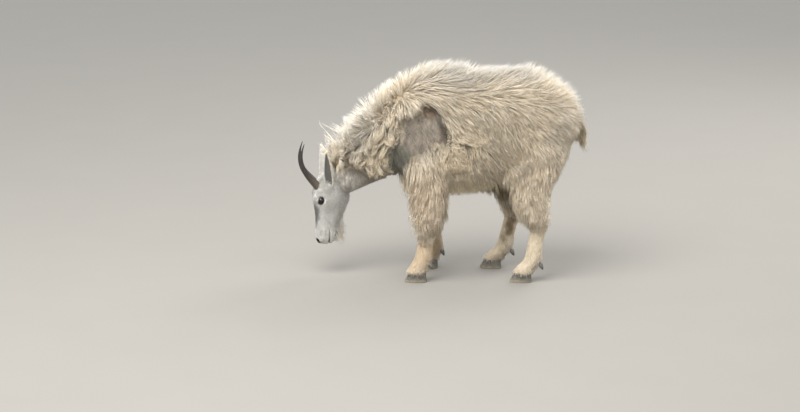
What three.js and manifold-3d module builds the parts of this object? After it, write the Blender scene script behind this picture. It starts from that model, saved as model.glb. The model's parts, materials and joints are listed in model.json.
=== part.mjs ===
// Mountain goat in its summer moult, head down to graze: a still, life-size model in named parts.
// Millimetres. The animal faces -X, its right side is +Y, and Z runs up from the ground.
import * as THREE from "three";
import { mergeVertices } from "three/addons/utils/BufferGeometryUtils.js";
import Module from "manifold-3d";

const wasm = await Module();
wasm.setup();

// Clearance left between neighbouring parts, the depth of the short summer hair, and the finest step kept.
const GAP = 0.4;
const SHORT_HAIR = 6;
const FINEST = 0.1;

// Depth of the long coat over the skin, and the share of it that each woolly part holds as a plain core.
const COAT = { ridge: 96, side: 52, belly: 84, hump: 92, mane: 138, thigh: 40, forearm: 44, tail: 26 };
const CORE_SHARE = 0.5;

// Locks of each kind: lengths along and around the body, half width, thickness, and how many.
const RIDGE_LOCK = { lines: [-0.16, -0.055, 0.055, 0.16], count: 6, along: 172, spread: 190, width: 46 };
const SIDE_LOCK = { columns: 6, rows: 5, along: 104, around: 152, width: 50, thick: 12 };
const BELLY_LOCK = { along: 40, around: 34, tuft: 4, drop: 92, tuftWidth: 30 };
const MANE_LOCK = { lines: [-0.16, -0.055, 0.055, 0.16], count: 4, along: -100, spread: 160, width: 44 };
const NECK_CLUMP = { columns: 4, rows: 3, along: -14, around: 96, width: 46, thick: 17 };
const CREST_THICK = 15;
const CREST_BLUNT = 0.2;
const LEG_LOCK = { rows: [0.34, 0.62], count: 3, along: 160, width: 42, thick: 10 };
const TAIL_LOCK = { count: 6, along: 78, width: 19, thick: 7 };
const BEARD_LOCK = { count: 7, long: 52, width: 19, thick: 9 };

// Trunk under the coat, from the point of the shoulder to the buttocks.
const TRUNK = [
  { x: -240, top: 690, bottom: 560, half: 50 },
  { x: -200, top: 800, bottom: 490, half: 98 },
  { x: -120, top: 884, bottom: 452, half: 124 },
  { x: -30, top: 914, bottom: 446, half: 138 },
  { x: 110, top: 890, bottom: 454, half: 152 },
  { x: 250, top: 897, bottom: 466, half: 154 },
  { x: 370, top: 877, bottom: 490, half: 146 },
  { x: 465, top: 838, bottom: 520, half: 132 },
  { x: 545, top: 782, bottom: 606, half: 104 },
  { x: 594, top: 724, bottom: 650, half: 62 },
];

// Neck under the mane, from inside the chest to inside the skull. Each section leans forward from upright,
// and deep is half its height along that lean.
const NECK = [
  { x: -40, z: 770, deep: 132, half: 84, lean: 20 },
  { x: -130, z: 690, deep: 156, half: 92, lean: 34 },
  { x: -210, z: 622, deep: 140, half: 88, lean: 37 },
  { x: -290, z: 560, deep: 112, half: 76, lean: 34 },
  { x: -362, z: 510, deep: 92, half: 64, lean: 29 },
  { x: -418, z: 470, deep: 78, half: 56, lean: 22 },
  { x: -458, z: 442, deep: 66, half: 48, lean: 15 },
];

// Head, in its own frame: along runs from poll to nose, and brow and jaw are heights over the head's axis.
const HEAD = {
  poll: { x: -497, y: 0, z: 470 },
  turn: 10,
  tuck: 3,
  stations: [
    { along: 0, brow: 28, jaw: -34, half: 38 },
    { along: 26, brow: 62, jaw: -66, half: 56 },
    { along: 62, brow: 82, jaw: -80, half: 63 },
    { along: 106, brow: 86, jaw: -76, half: 61 },
    { along: 150, brow: 84, jaw: -60, half: 51 },
    { along: 198, brow: 83, jaw: -36, half: 41 },
    { along: 240, brow: 85, jaw: -16, half: 34 },
    { along: 280, brow: 88, jaw: -12, half: 33 },
    { along: 305, brow: 83, jaw: -6, half: 30 },
    { along: 320, brow: 70, jaw: 10, half: 20 },
  ],
};
const EYE = { along: 106, height: 58, aside: 46, radius: 16 };
const NOSTRIL = { along: 300, height: 76, aside: 17, long: 9, wide: 4.5, deep: 13 };
const MOUTH = { corner: 256, height: 24, gap: 2.4 };
const HORN = { along: 50, height: 62, aside: 25, base: 19, length: 232, spread: 5 };
const EAR = {
  along: 34,
  height: 10,
  aside: 47,
  length: 158,
  width: 46,
  thick: 5,
  splay: 0.2,
  turn: 58,
};

// Legs: knee is the wrist of a foreleg or the hock of a hind leg, foot the middle of the hoof's sole.
// Positions along X of each joint, and half the hoof track along Y.
const TRACK = 122;
const LEGS = {
  front_left: { side: -1, root: -62, elbow: -46, knee: -55, fetlock: -80, foot: -112 },
  front_right: { side: 1, root: -50, elbow: -32, knee: -24, fetlock: -24, foot: -56 },
  hind_left: { side: -1, root: 430, elbow: 402, knee: 445, fetlock: 418, foot: 364 },
  hind_right: { side: 1, root: 400, elbow: 345, knee: 340, fetlock: 298, foot: 236 },
};
const JOINT_HEIGHT = { root: 620, elbow: 430, knee: 238, hock: 272, fetlock: 104, pastern: 70, sole: 38 };
const HOOF = { long: 100, wide: 33, tall: 44, gap: 7, dewclaw: 20, dewclawHeight: 76 };

const TAIL = { x: 602, z: 742, drop: 116, back: 40, half: 27 };

const COLOURS = {
  wool: { color: 0xd8ccb4, roughness: 0.95 },
  short: { color: 0xb9b4a8, roughness: 0.9 },
  leg: { color: 0xcdb892, roughness: 0.92 },
  horn: { color: 0x2a2622, roughness: 0.45 },
  hoof: { color: 0x3a3b38, roughness: 0.6 },
  eye: { color: 0x140f0a, roughness: 0.1 },
};

const vec = (x, y, z) => new THREE.Vector3(x, y, z);
const mix = (a, b, share) => a + (b - a) * share;
const clamp = (value, low, high) => Math.min(Math.max(value, low), high);
const ease = (low, high, value) => THREE.MathUtils.smoothstep(value, low, high);
const radians = THREE.MathUtils.degToRad;

// A named size at share t of the way through a list of stations, on a smooth curve through them.
function sizeAt(stations, name, t) {
  const last = stations.length - 1;
  const place = clamp(t, 0, 1) * last;
  const i = Math.min(Math.floor(place), last - 1);
  const f = place - i;
  const value = (k) => stations[clamp(k, 0, last)][name];
  const [a, b, c, d] = [value(i - 1), value(i), value(i + 1), value(i + 2)];
  const [square, cube] = [2 * a - 5 * b + 4 * c - d, 3 * b - a - 3 * c + d];
  return 0.5 * (2 * b + (c - a) * f + square * f ** 2 + cube * f ** 3);
}

// A three.js geometry as a solid whose faces point out.
function solidFrom(geometry) {
  geometry.deleteAttribute("normal");
  geometry.deleteAttribute("uv");
  const merged = mergeVertices(geometry, 1e-3);
  const index = merged.index.array;
  const faces = [];
  for (let i = 0; i < index.length; i += 3) {
    const [a, b, c] = [index[i], index[i + 1], index[i + 2]];
    if (a !== b && b !== c && c !== a) faces.push(a, b, c);
  }
  const build = (triVerts) =>
    new wasm.Manifold(
      new wasm.Mesh({
        numProp: 3,
        vertProperties: new Float32Array(merged.attributes.position.array),
        triVerts: new Uint32Array(triVerts),
      }),
    );
  const made = build(faces);
  return made.volume() > 0 ? made : build(faces.reverse());
}

// A closed body of rings: place(t, angle, reach) gives each point, with reach 0 at the middle of each end.
function ringedSolid(sides, rings, place) {
  const geometry = new THREE.SphereGeometry(1, sides, rings + 1);
  const points = geometry.getAttribute("position");
  for (let i = 0; i < points.count; i++) {
    const row = Math.floor(i / (sides + 1));
    const angle = (2 * Math.PI * ((i % (sides + 1)) % sides)) / sides;
    const reach = row === 0 || row === rings + 1 ? 0 : 1;
    const at = place(clamp((row - 1) / (rings - 1), 0, 1), angle, reach);
    points.setXYZ(i, at.x, at.y, at.z);
  }
  return solidFrom(geometry);
}

// A round-cornered section's sideways and upward share at an angle: 2 is an ellipse, more is squarer.
function sectionAt(angle, squareness) {
  const bend = (value) => Math.sign(value) * Math.abs(value) ** (2 / squareness);
  return { side: bend(Math.cos(angle)), up: bend(Math.sin(angle)) };
}

// The outward direction of a surface given as a function of t and angle.
function outwardOf(surface, middle, t, angle) {
  const step = 0.01;
  const a = clamp(t, step, 1 - step);
  const lengthwise = surface(a + step, angle).sub(surface(a - step, angle));
  const around = surface(a, angle + step).sub(surface(a, angle - step));
  const out = lengthwise.cross(around).normalize();
  return out.dot(surface(a, angle).sub(middle(a))) < 0 ? out.negate() : out;
}

function fuse(solids) {
  return wasm.Manifold.union(solids);
}

// The largest closed body of a solid, without the scraps that a cut leaves.
function largest(solid) {
  return solid.decompose().reduce((a, b) => (a.volume() > b.volume() ? a : b));
}

// The push that moves a corner out until each of the faces round it has moved by the clearance.
function cornerPush(normals) {
  const soft = 0.02 * normals.length;
  const sum = (pick) => normals.reduce((total, n) => total + pick(n), 0);
  const [xy, xz, yz] = [sum((n) => n.x * n.y), sum((n) => n.x * n.z), sum((n) => n.y * n.z)];
  const spread = new THREE.Matrix3().set(
    sum((n) => n.x * n.x) + soft, xy, xz,
    xy, sum((n) => n.y * n.y) + soft, yz,
    xz, yz, sum((n) => n.z * n.z) + soft,
  );
  const push = vec(sum((n) => n.x), sum((n) => n.y), sum((n) => n.z)).applyMatrix3(spread.invert());
  return push.multiplyScalar(GAP).clampLength(0, 3 * GAP);
}

// A solid swollen by the clearance.
function swollen(solid) {
  const mesh = solid.getMesh();
  const corners = [];
  for (let i = 0; i < mesh.numVert; i++) {
    const [x, y, z] = mesh.vertProperties.subarray(i * mesh.numProp, i * mesh.numProp + 3);
    corners.push({ at: vec(x, y, z), normals: [] });
  }
  for (let i = 0; i < mesh.triVerts.length; i += 3) {
    const face = [0, 1, 2].map((k) => corners[mesh.triVerts[i + k]]);
    const normal = new THREE.Triangle(...face.map((corner) => corner.at)).getNormal(vec(0, 0, 0));
    face.forEach((corner) => corner.normals.push(normal));
  }
  const points = corners.flatMap((corner) => corner.at.clone().add(cornerPush(corner.normals)).toArray());
  return new wasm.Manifold(
    new wasm.Mesh({
      numProp: 3,
      vertProperties: new Float32Array(points),
      triVerts: new Uint32Array(mesh.triVerts),
    }),
  );
}

// A form is the union of its pieces, with a guard that is the same union grown by the clearance.
function formOf(pieces, cuts = []) {
  const whole = cuts.reduce((left, cut) => left.subtract(cut), fuse(pieces));
  return { solid: largest(whole.simplify(FINEST)), guard: fuse(pieces.map((piece) => swollen(piece))) };
}

// A form cut clear of its neighbours, whose own guard stays whole.
function clearOf(form, neighbours) {
  const cut = (left, neighbour) => left.subtract(neighbour.guard);
  return { solid: largest(neighbours.reduce(cut, form.solid)), guard: form.guard };
}

// A repeatable random draw between two values.
let drawn = 7;
function draw(low, high) {
  drawn = (drawn * 48271) % 2147483647;
  return mix(low, high, drawn / 2147483647);
}

// Half width of a lock at share s of its length: a lock narrows to its tip, and a matted clump stays broad.
function taperAt(s, blunt) {
  const swell = mix(0.6, 1, ease(0, 0.3, s));
  const narrowing = clamp((s - 0.25) / 0.75, 0, 1) ** mix(1.2, 2.5, blunt);
  return swell * (1 - mix(0.95, 0.55, blunt) * narrowing);
}

// One flat lock of hair along a path: broad across, with a low ridge on the side that faces out.
function makeLock(path, outAt, width, thick, { blunt = 0, bend = 0 } = {}) {
  return ringedSolid(3, 4, (s, turn, reach) => {
    const angle = turn - Math.PI / 6;
    const heading = path(Math.min(s + 0.06, 1)).sub(path(Math.max(s - 0.06, 0))).normalize();
    const across = heading.clone().cross(outAt(s)).normalize();
    const out = across.clone().cross(heading);
    const swing = bend * width * Math.sin(Math.PI * 0.75 * s);
    return path(s)
      .addScaledVector(across, width * taperAt(s, blunt) * reach * 1.15 * Math.cos(angle) + swing)
      .addScaledVector(out, thick * mix(1, 0.3, s) * reach * Math.sin(angle));
  });
}

// A lock that follows a body: it starts at t and angle under the core, runs along the body by the given
// lengths along and around, and rises to the full depth of the coat. Where it stands on end its broad side
// faces the flank, and elsewhere it lies flat.
function lockOn(body, t, angle, size) {
  const { along, around, width, thick, sink = 12, rise = 0.6, standing = 0, ...shape } = size;
  const step = 0.02;
  const perT = body.point(t + step, angle, 0).distanceTo(body.point(t - step, angle, 0)) / (2 * step);
  const perTurn = body.point(t, angle + step, 0).distanceTo(body.point(t, angle - step, 0)) / (2 * step);
  const goT = along / perT;
  const goTurn = clamp(around / perTurn, -1, 1);
  const root = body.coreDepth(t, angle) - sink;
  const tip = body.coat(clamp(t + goT, 0, 1), angle + goTurn) * draw(0.86, 1.02);
  const path = (s) => body.point(t + goT * s, angle + goTurn * s, mix(root, tip, s ** rise));
  const flank = vec(0, Math.cos(angle) < 0 ? -1 : 1, 0);
  const outAt = (s) => {
    const outward = path(s).sub(body.point(t + goT * s, angle + goTurn * s, 0)).normalize();
    return outward.lerp(flank, standing);
  };
  return makeLock(path, outAt, width, thick, shape);
}

// How bare the trunk is of long wool: 1 on the moulted shoulder and chest, 0 under the full coat.
function bareness(p) {
  const oval = (x, z, long, tall) => 1 - ease(0.8, 1.15, Math.hypot((p.x - x) / long, (p.z - z) / tall));
  const shoulder = oval(-75, 712, 118, 98);
  const chest = oval(-215, 560, 78, 160);
  return Math.max(shoulder, chest);
}

// Depth of the trunk's coat at a point of the skin whose outward direction is given.
function trunkCoat(p, out) {
  const crest = mix(COAT.side, COAT.ridge, ease(0.5, 0.98, out.z));
  const under = ease(0.35, 0.95, -out.z) * ease(-160, 0, p.x) * (1 - ease(400, 520, p.x));
  const deep = mix(crest, COAT.belly, under);
  const fade = ease(-260, -190, p.x) * mix(1, 0.55, ease(500, 600, p.x));
  return mix(deep * fade, SHORT_HAIR, bareness(p));
}

const trunkMiddle = (t) =>
  vec(sizeAt(TRUNK, "x", t), 0, mix(sizeAt(TRUNK, "bottom", t), sizeAt(TRUNK, "top", t), 0.46));

function trunkSkin(t, angle) {
  const middle = trunkMiddle(t);
  const { side, up } = sectionAt(angle, 2.15);
  const reach = up > 0 ? sizeAt(TRUNK, "top", t) - middle.z : middle.z - sizeAt(TRUNK, "bottom", t);
  return vec(middle.x, side * sizeAt(TRUNK, "half", t), middle.z + up * reach);
}

const trunkOut = (t, angle) => outwardOf(trunkSkin, trunkMiddle, t, angle);

function trunkPoint(t, angle, depth) {
  return trunkSkin(t, angle).addScaledVector(trunkOut(t, angle), depth);
}

const trunk = {
  point: trunkPoint,
  coat: (t, angle) => trunkCoat(trunkSkin(t, angle), trunkOut(t, angle)),
  coreDepth: (t, angle) => {
    const p = trunkSkin(t, angle);
    const depth = trunkCoat(p, trunkOut(t, angle));
    return Math.max(SHORT_HAIR, depth * mix(CORE_SHARE, 1, bareness(p)));
  },
};

// Staggered lines of long locks along a crest, which rise to their tips as they sweep along it.
function crestLocks(body, kind, from, to) {
  const locks = [];
  for (const [k, line] of kind.lines.entries()) {
    for (let i = 0; i < kind.count; i++) {
      const t = mix(from, to, (i + (k % 2) * 0.5) / (kind.count - 0.5)) + draw(-0.012, 0.012);
      const size = draw(0.88, 1.1);
      locks.push(
        lockOn(body, t, Math.PI * (0.5 + line), {
          along: kind.along * size,
          around: kind.spread * line * size,
          width: kind.width * size,
          thick: CREST_THICK,
          sink: CREST_THICK,
          rise: 1,
          blunt: CREST_BLUNT,
          bend: draw(-0.25, 0.25),
        }),
      );
    }
  }
  return locks;
}

const ridgeLocks = () => crestLocks(trunk, RIDGE_LOCK, 0.07, 0.88);

// Sweeping locks lie back and down the sides in staggered rows, and the lowest hang from the belly.
function sideLocks() {
  const locks = [];
  const { columns, rows } = SIDE_LOCK;
  for (const side of [-1, 1]) {
    for (let row = 0; row < rows; row++) {
      for (let column = 0; column < columns; column++) {
        const t = mix(0.14, 0.93, (column + (row % 2) * 0.5) / (columns - 0.5)) + draw(-0.015, 0.015);
        const drop = mix(0.26, 0.87, row / (rows - 1)) * Math.PI + draw(-0.05, 0.05);
        const angle = Math.PI * 0.5 - side * drop;
        const skin = trunkSkin(t, angle);
        if (bareness(skin) > 0.2 || (row === rows - 1 && skin.x < -110)) continue;
        const size = draw(0.9, 1.15);
        const hanging = row === rows - 1 ? 1 : 0;
        locks.push(
          lockOn(trunk, t, angle, {
            along: mix(SIDE_LOCK.along, BELLY_LOCK.along, hanging) * size,
            around: -side * mix(SIDE_LOCK.around, BELLY_LOCK.around, hanging) * size,
            width: SIDE_LOCK.width * size,
            thick: SIDE_LOCK.thick,
            standing: 0.5 * hanging,
            bend: draw(-0.25, 0.25),
          }),
        );
      }
    }
  }
  return locks;
}

// The dark tuft that hangs from the belly in front of the hind legs.
function bellyTuft() {
  const locks = [];
  for (let i = 0; i < BELLY_LOCK.tuft; i++) {
    const share = i / (BELLY_LOCK.tuft - 1);
    const root = vec(mix(238, 292, share), 0, sizeAt(TRUNK, "bottom", 0.55) - COAT.belly * 0.3);
    const aside = mix(-12, 12, i % 2);
    const drop = BELLY_LOCK.drop * mix(0.85, 1.1, share);
    const path = (s) => root.clone().add(vec(16 * s ** 2, aside * s, -drop * s));
    locks.push(makeLock(path, () => vec(0, 1, 0), BELLY_LOCK.tuftWidth, SIDE_LOCK.thick));
  }
  return locks;
}

function trunkPieces() {
  const core = ringedSolid(16, 11, (t, angle, reach) =>
    trunkMiddle(t).lerp(trunkPoint(t, angle, trunk.coreDepth(t, angle)), reach),
  );
  return [core, ...ridgeLocks(), ...sideLocks(), ...bellyTuft()];
}

const neckMiddle = (t) => vec(sizeAt(NECK, "x", t), 0, sizeAt(NECK, "z", t));

function neckUp(t) {
  const lean = radians(sizeAt(NECK, "lean", t));
  return vec(-Math.sin(lean), 0, Math.cos(lean));
}

// A point of the neck, out from its skin by a depth that lies in the section's own plane.
function neckPoint(t, angle, depth = 0) {
  const { side, up } = sectionAt(angle, 2);
  return neckMiddle(t)
    .addScaledVector(neckUp(t), up * (sizeAt(NECK, "deep", t) + depth))
    .add(vec(0, side * (sizeAt(NECK, "half", t) + depth), 0));
}

// The mane stands on the crest of the neck. Its lower edge climbs from the chest to behind the ears, and its
// rear edge stops at the bare shoulder.
function neckCoat(t, angle) {
  const height = Math.sin(angle);
  const crest = mix(COAT.hump, COAT.mane, ease(0.05, 0.5, t));
  const tall = mix(COAT.mane * 0.4, crest, ease(0.3, 0.95, height));
  const edge = mix(-0.9, 0.7, ease(0.35, 1, t));
  const sides = mix(ease(0.2, 0.42, t), 1, ease(0.55, 0.85, height));
  return mix(SHORT_HAIR, tall, ease(edge - 0.2, edge + 0.2, height) * sides);
}

const neckBody = {
  point: neckPoint,
  coat: neckCoat,
  coreDepth: (t, angle) => {
    const depth = neckCoat(t, angle);
    return depth * mix(1, CORE_SHARE, ease(SHORT_HAIR, SHORT_HAIR * 4, depth));
  },
};

// The mane rises in staggered lines of locks along the crest, leaning back from the head.
const maneLocks = () => crestLocks(neckBody, MANE_LOCK, 0.28, 1);

// Matted clumps hang down the sides of the neck in staggered rows.
function neckClumps() {
  const locks = [];
  const { columns, rows } = NECK_CLUMP;
  for (const side of [-1, 1]) {
    for (let row = 0; row < rows; row++) {
      for (let column = 0; column < columns; column++) {
        const t = mix(0.3, 0.97, (column + (row % 2) * 0.5) / (columns - 0.5)) + draw(-0.02, 0.02);
        const drop = mix(0.27, 0.68, row / (rows - 1)) * Math.PI + draw(-0.04, 0.04);
        const angle = Math.PI * 0.5 - side * drop;
        if (neckCoat(t, angle) < COAT.mane * 0.22) continue;
        const size = draw(0.85, 1.15);
        locks.push(
          lockOn(neckBody, t, angle, {
            along: NECK_CLUMP.along * size,
            around: -side * NECK_CLUMP.around * size,
            width: NECK_CLUMP.width * size,
            thick: NECK_CLUMP.thick,
            blunt: 0.8,
            bend: draw(-0.4, 0.4),
          }),
        );
      }
    }
  }
  return locks;
}

function neckPieces() {
  const core = ringedSolid(12, 8, (t, angle, reach) =>
    neckMiddle(t).lerp(neckPoint(t, angle, neckBody.coreDepth(t, angle)), reach),
  );
  return [core, ...maneLocks(), ...neckClumps()];
}

// Head frame to the animal's: along the head's axis, height over it towards the brow, aside to the right.
const HEAD_TURN = new THREE.Matrix4()
  .makeTranslation(HEAD.poll.x, HEAD.poll.y, HEAD.poll.z)
  .multiply(new THREE.Matrix4().makeRotationZ(radians(HEAD.turn)))
  .multiply(new THREE.Matrix4().makeRotationY(radians(-HEAD.tuck)));
const headPoint = (along, height, aside) => vec(-height, aside, -along).applyMatrix4(HEAD_TURN);

const headMiddle = (t) => {
  const [brow, jaw] = [sizeAt(HEAD.stations, "brow", t), sizeAt(HEAD.stations, "jaw", t)];
  return { along: sizeAt(HEAD.stations, "along", t), height: mix(jaw, brow, 0.52), brow, jaw };
};

// The skull's section narrows towards the jaw, more behind the muzzle than on it.
function headSkin(t, angle, reach = 1) {
  const middle = headMiddle(t);
  const { side, up } = sectionAt(angle, 2.35);
  const span = up > 0 ? middle.brow - middle.height : middle.height - middle.jaw;
  const narrowing = 1 - mix(0.42, 0.16, ease(0.5, 0.9, t)) * Math.max(0, -up) ** 1.4;
  const half = sizeAt(HEAD.stations, "half", t) * narrowing;
  return headPoint(middle.along, middle.height + up * span * reach, side * half * reach);
}

// An ellipsoid in the head's frame.
function headLump(along, height, aside, sizes, sides = 10, rings = 7) {
  return ringedSolid(sides, rings - 1, (t, angle, reach) => {
    const polar = mix(0.12, 0.88, t) * Math.PI;
    const ring = reach === 0 ? 0 : Math.sin(polar);
    const lift = reach === 0 ? Math.sign(0.5 - t) : Math.cos(polar);
    return headPoint(
      along + sizes.along * ring * Math.cos(angle),
      height + sizes.height * ring * Math.sin(angle),
      aside + sizes.aside * lift,
    );
  });
}

function makeEye(side) {
  const r = EYE.radius;
  return headLump(EYE.along, EYE.height, side * EYE.aside, { along: r, height: r, aside: r }, 10, 7);
}

// A box in the head's frame, bent by a function of its points.
function headBlock(long, tall, wide, segments, place) {
  const geometry = new THREE.BoxGeometry(long, tall, wide, segments, 1, 1);
  const points = geometry.getAttribute("position");
  for (let i = 0; i < points.count; i++) {
    const at = place(points.getX(i), points.getY(i), points.getZ(i));
    points.setXYZ(i, at.x, at.y, at.z);
  }
  return solidFrom(geometry);
}

function makeMouthLine() {
  const long = HEAD.stations.at(-1).along - MOUTH.corner + 20;
  return headBlock(long, MOUTH.gap, 120, 5, (x, y, z) => {
    const along = MOUTH.corner + long / 2 + x;
    const rise = 6 * ease(0, 1, (along - MOUTH.corner) / long);
    return headPoint(along, MOUTH.height + rise + y, z);
  });
}

// Locks that hang from the chin and the edge of the jaw, side by side.
function beardLocks() {
  const locks = [];
  for (let i = 0; i < BEARD_LOCK.count; i++) {
    const share = i / (BEARD_LOCK.count - 1);
    const aside = (i % 2 ? 1 : -1) * mix(13, 5, share);
    const [along, height] = [mix(196, 286, share), mix(-22, 2, share)];
    const long = BEARD_LOCK.long * mix(0.9, 1.1, share) * draw(0.9, 1.15);
    const path = (s) => headPoint(along + long * s, height - long * 0.72 * s ** 0.8, aside * (1 + 0.4 * s));
    const out = headPoint(0, 0, Math.sign(aside)).sub(headPoint(0, 0, 0));
    locks.push(makeLock(path, () => out, BEARD_LOCK.width, BEARD_LOCK.thick, { bend: draw(-0.2, 0.2) }));
  }
  return locks;
}

function makeHead(eyes) {
  const skull = ringedSolid(18, 14, headSkin);
  const parts = [skull];
  const cuts = [makeMouthLine()];
  for (const side of [-1, 1]) {
    const { along, height, aside, radius } = EYE;
    parts.push(headLump(along - 6, height + 2, side * (aside - 4), { along: 27, height: 22, aside: 19 }));
    parts.push(headLump(292, 66, side * 13, { along: 24, height: 20, aside: 19 }));
    const opening = { along: radius * 0.8, height: 9, aside: 12 };
    cuts.push(headLump(along, height, side * (aside + radius), opening));
    const nostril = { along: NOSTRIL.long, height: NOSTRIL.wide, aside: NOSTRIL.deep };
    cuts.push(headLump(NOSTRIL.along, NOSTRIL.height, side * (NOSTRIL.aside + 12), nostril, 8, 6));
  }
  parts.push(headLump(288, 2, 0, { along: 24, height: 16, aside: 24 }));
  parts.push(...beardLocks());
  return clearOf(formOf(parts, cuts), eyes);
}

// A horn bends back as it rises: its heading turns from forward of the brow to straight back along it.
function hornMiddle(t, side) {
  const steps = 24;
  let [along, height] = [HORN.along, HORN.height];
  for (let i = 0; i < Math.round(t * steps); i++) {
    const heading = radians(mix(38, -22, ease(0.2, 1, (i + 0.5) / steps)));
    along -= (HORN.length / steps) * Math.cos(heading);
    height += (HORN.length / steps) * Math.sin(heading);
  }
  return { along, height, aside: side * (HORN.aside + HORN.spread * t) };
}

function makeHorn(side) {
  const rings = 11;
  return ringedSolid(9, rings, (t, angle, reach) => {
    const at = hornMiddle(t, side);
    const ridge = 1 + 0.05 * Math.sin(t * rings * Math.PI * 0.5) * (1 - ease(0.2, 0.5, t));
    const radius = HORN.base * mix(1, 0.07, t ** 1.15) * ridge * reach;
    const tilt = radians(mix(38, -22, ease(0.2, 1, t)));
    const across = radius * Math.cos(angle);
    return headPoint(
      at.along + across * Math.sin(tilt),
      at.height + across * Math.cos(tilt),
      at.aside + radius * 0.92 * Math.sin(angle),
    );
  });
}

// An ear is a leaf rolled into a cup: thin, widest a third of the way up, opening forwards and outwards.
function makeEar(side) {
  const turn = radians(EAR.turn);
  return ringedSolid(14, 7, (t, angle, reach) => {
    const width = EAR.width * 0.5 * Math.sin(Math.PI * mix(0.2, 0.985, t ** 0.85)) ** 0.8;
    const across = Math.cos(angle) * reach;
    const thick = EAR.thick * mix(1, 0.45, t) * Math.sin(angle) * reach;
    const roll = mix(1.35, 0.9, t);
    const cup = (1 - Math.cos(across * roll)) * width * 0.95 + thick * Math.cos(across * roll);
    const wide = Math.sin(across * roll) * width - thick * Math.sin(across * roll);
    const out = EAR.aside + EAR.splay * EAR.length * t;
    return headPoint(
      EAR.along - EAR.length * t,
      EAR.height + cup * Math.cos(turn) - wide * Math.sin(turn) + 14 * t,
      side * (out + cup * Math.sin(turn) + wide * Math.cos(turn)),
    );
  });
}

// Points of a leg from its root to the hoof: middle, fore-and-aft half, sideways half.
function legStations(name, leg) {
  const hind = name.startsWith("hind");
  const at = (x, z, long, wide, inset) => ({ x, z, long, wide, y: leg.side * (TRACK - inset) });
  const kneeHeight = hind ? JOINT_HEIGHT.hock : JOINT_HEIGHT.knee;
  const upper = hind
    ? [
        at(leg.root, JOINT_HEIGHT.root, 118, 52, 34),
        at(mix(leg.root, leg.elbow, 0.6), 520, 106, 52, 22),
        at(leg.elbow, JOINT_HEIGHT.elbow, 72, 46, 12),
        at(mix(leg.elbow, leg.knee, 0.15), 345, 60, 38, 4),
        at(mix(leg.elbow, leg.knee, 0.6), 298, 44, 31, 0),
        at(leg.knee, kneeHeight - 12, 37, 30, 0),
      ]
    : [
        at(leg.root, JOINT_HEIGHT.root, 86, 40, 36),
        at(mix(leg.root, leg.elbow, 0.5), 520, 74, 42, 22),
        at(leg.elbow, JOINT_HEIGHT.elbow, 56, 38, 10),
        at(mix(leg.elbow, leg.knee, 0.6), 320, 42, 34, 2),
        at(leg.knee, kneeHeight, 35, 30, 0),
        at(mix(leg.knee, leg.fetlock, 0.3), kneeHeight - 32, 34, 28, 0),
      ];
  const lower = [
    at(leg.knee, kneeHeight + 26, 36, 30, 0),
    at(leg.knee, kneeHeight - 14, 38, 31, 0),
    at(mix(leg.knee, leg.fetlock, 0.5), mix(kneeHeight, JOINT_HEIGHT.fetlock, 0.5), 36, 28, 0),
    at(leg.fetlock, JOINT_HEIGHT.fetlock, 39, 32, 0),
    at(mix(leg.fetlock, leg.foot, 0.5), JOINT_HEIGHT.pastern, 43, 34, 0),
    at(mix(leg.fetlock, leg.foot, 0.85), JOINT_HEIGHT.sole, 48, 38, 0),
  ];
  return { upper, lower, kneeHeight };
}

const legMiddle = (stations, t) =>
  vec(sizeAt(stations, "x", t), sizeAt(stations, "y", t), sizeAt(stations, "z", t));

function legPoint(stations, t, angle, depth) {
  const { side, up } = sectionAt(angle, 2);
  const [long, wide] = [sizeAt(stations, "long", t) + depth, sizeAt(stations, "wide", t) + depth];
  return legMiddle(stations, t).add(vec(up * long, side * wide, 0));
}

function legSolid(stations, depthAt, sides, rings, end = 1) {
  return ringedSolid(sides, rings, (t, angle, reach) =>
    legMiddle(stations, t * end).lerp(legPoint(stations, t * end, angle, depthAt(t * end)), reach),
  );
}

// Wool of the upper legs: long over the forearm as breeches, and ending above the knee.
function breeches(name, leg) {
  const { upper } = legStations(name, leg);
  const deep = name.startsWith("hind") ? COAT.thigh : COAT.forearm;
  const end = name.startsWith("hind") ? 0.12 : 0.4;
  const coat = (t) => deep * mix(1, end, ease(0.45, 1, t));
  return {
    stations: upper,
    point: (t, angle, depth) => legPoint(upper, clamp(t, 0, 1.2), angle, depth),
    coat,
    coreDepth: (t) => coat(t) * CORE_SHARE,
  };
}

function upperLegPieces(name, leg) {
  const wool = breeches(name, leg);
  const pieces = [legSolid(wool.stations, wool.coreDepth, 8, 5, 0.9)];
  const { rows, count, along, width, thick } = LEG_LOCK;
  for (const [row, t] of rows.entries()) {
    for (let i = 0; i < count; i++) {
      const angle = ((i + row * 0.5 + 0.25) / count) * 2 * Math.PI + draw(-0.1, 0.1);
      const size = draw(0.85, 1.1) * (row ? 0.85 : 1);
      const shape = { along: along * size, around: 0, width: width * size, thick, bend: draw(-0.25, 0.25) };
      pieces.push(lockOn(wool, t, angle, shape));
    }
  }
  return pieces;
}

function makeLowerLeg(name, leg) {
  const { lower } = legStations(name, leg);
  return legSolid(lower, () => SHORT_HAIR * 0.5, 10, 8);
}

// One half of a cloven hoof: a flat sole pointed at the toe, with walls that lean in as they rise.
function makeClaw(leg, half) {
  const middle = leg.side * TRACK + half * (HOOF.gap + HOOF.wide) * 0.5;
  return ringedSolid(10, 3, (t, angle, reach) => {
    const z = HOOF.tall * t;
    const heel = leg.foot + HOOF.long * 0.5 - 4 * t;
    const toe = leg.foot - HOOF.long * 0.5 + HOOF.long * 0.3 * t;
    const share = (Math.cos(angle) + 1) / 2;
    const bulge = Math.sin(angle) * (1 - 0.35 * share ** 3);
    const x = mix(heel, toe, mix(0.5, share, reach));
    const toeIn = -half * 5 * share ** 2 * reach;
    return vec(x, middle + toeIn + bulge * HOOF.wide * 0.5 * mix(1, 0.86, t) * reach, z);
  });
}

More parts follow.
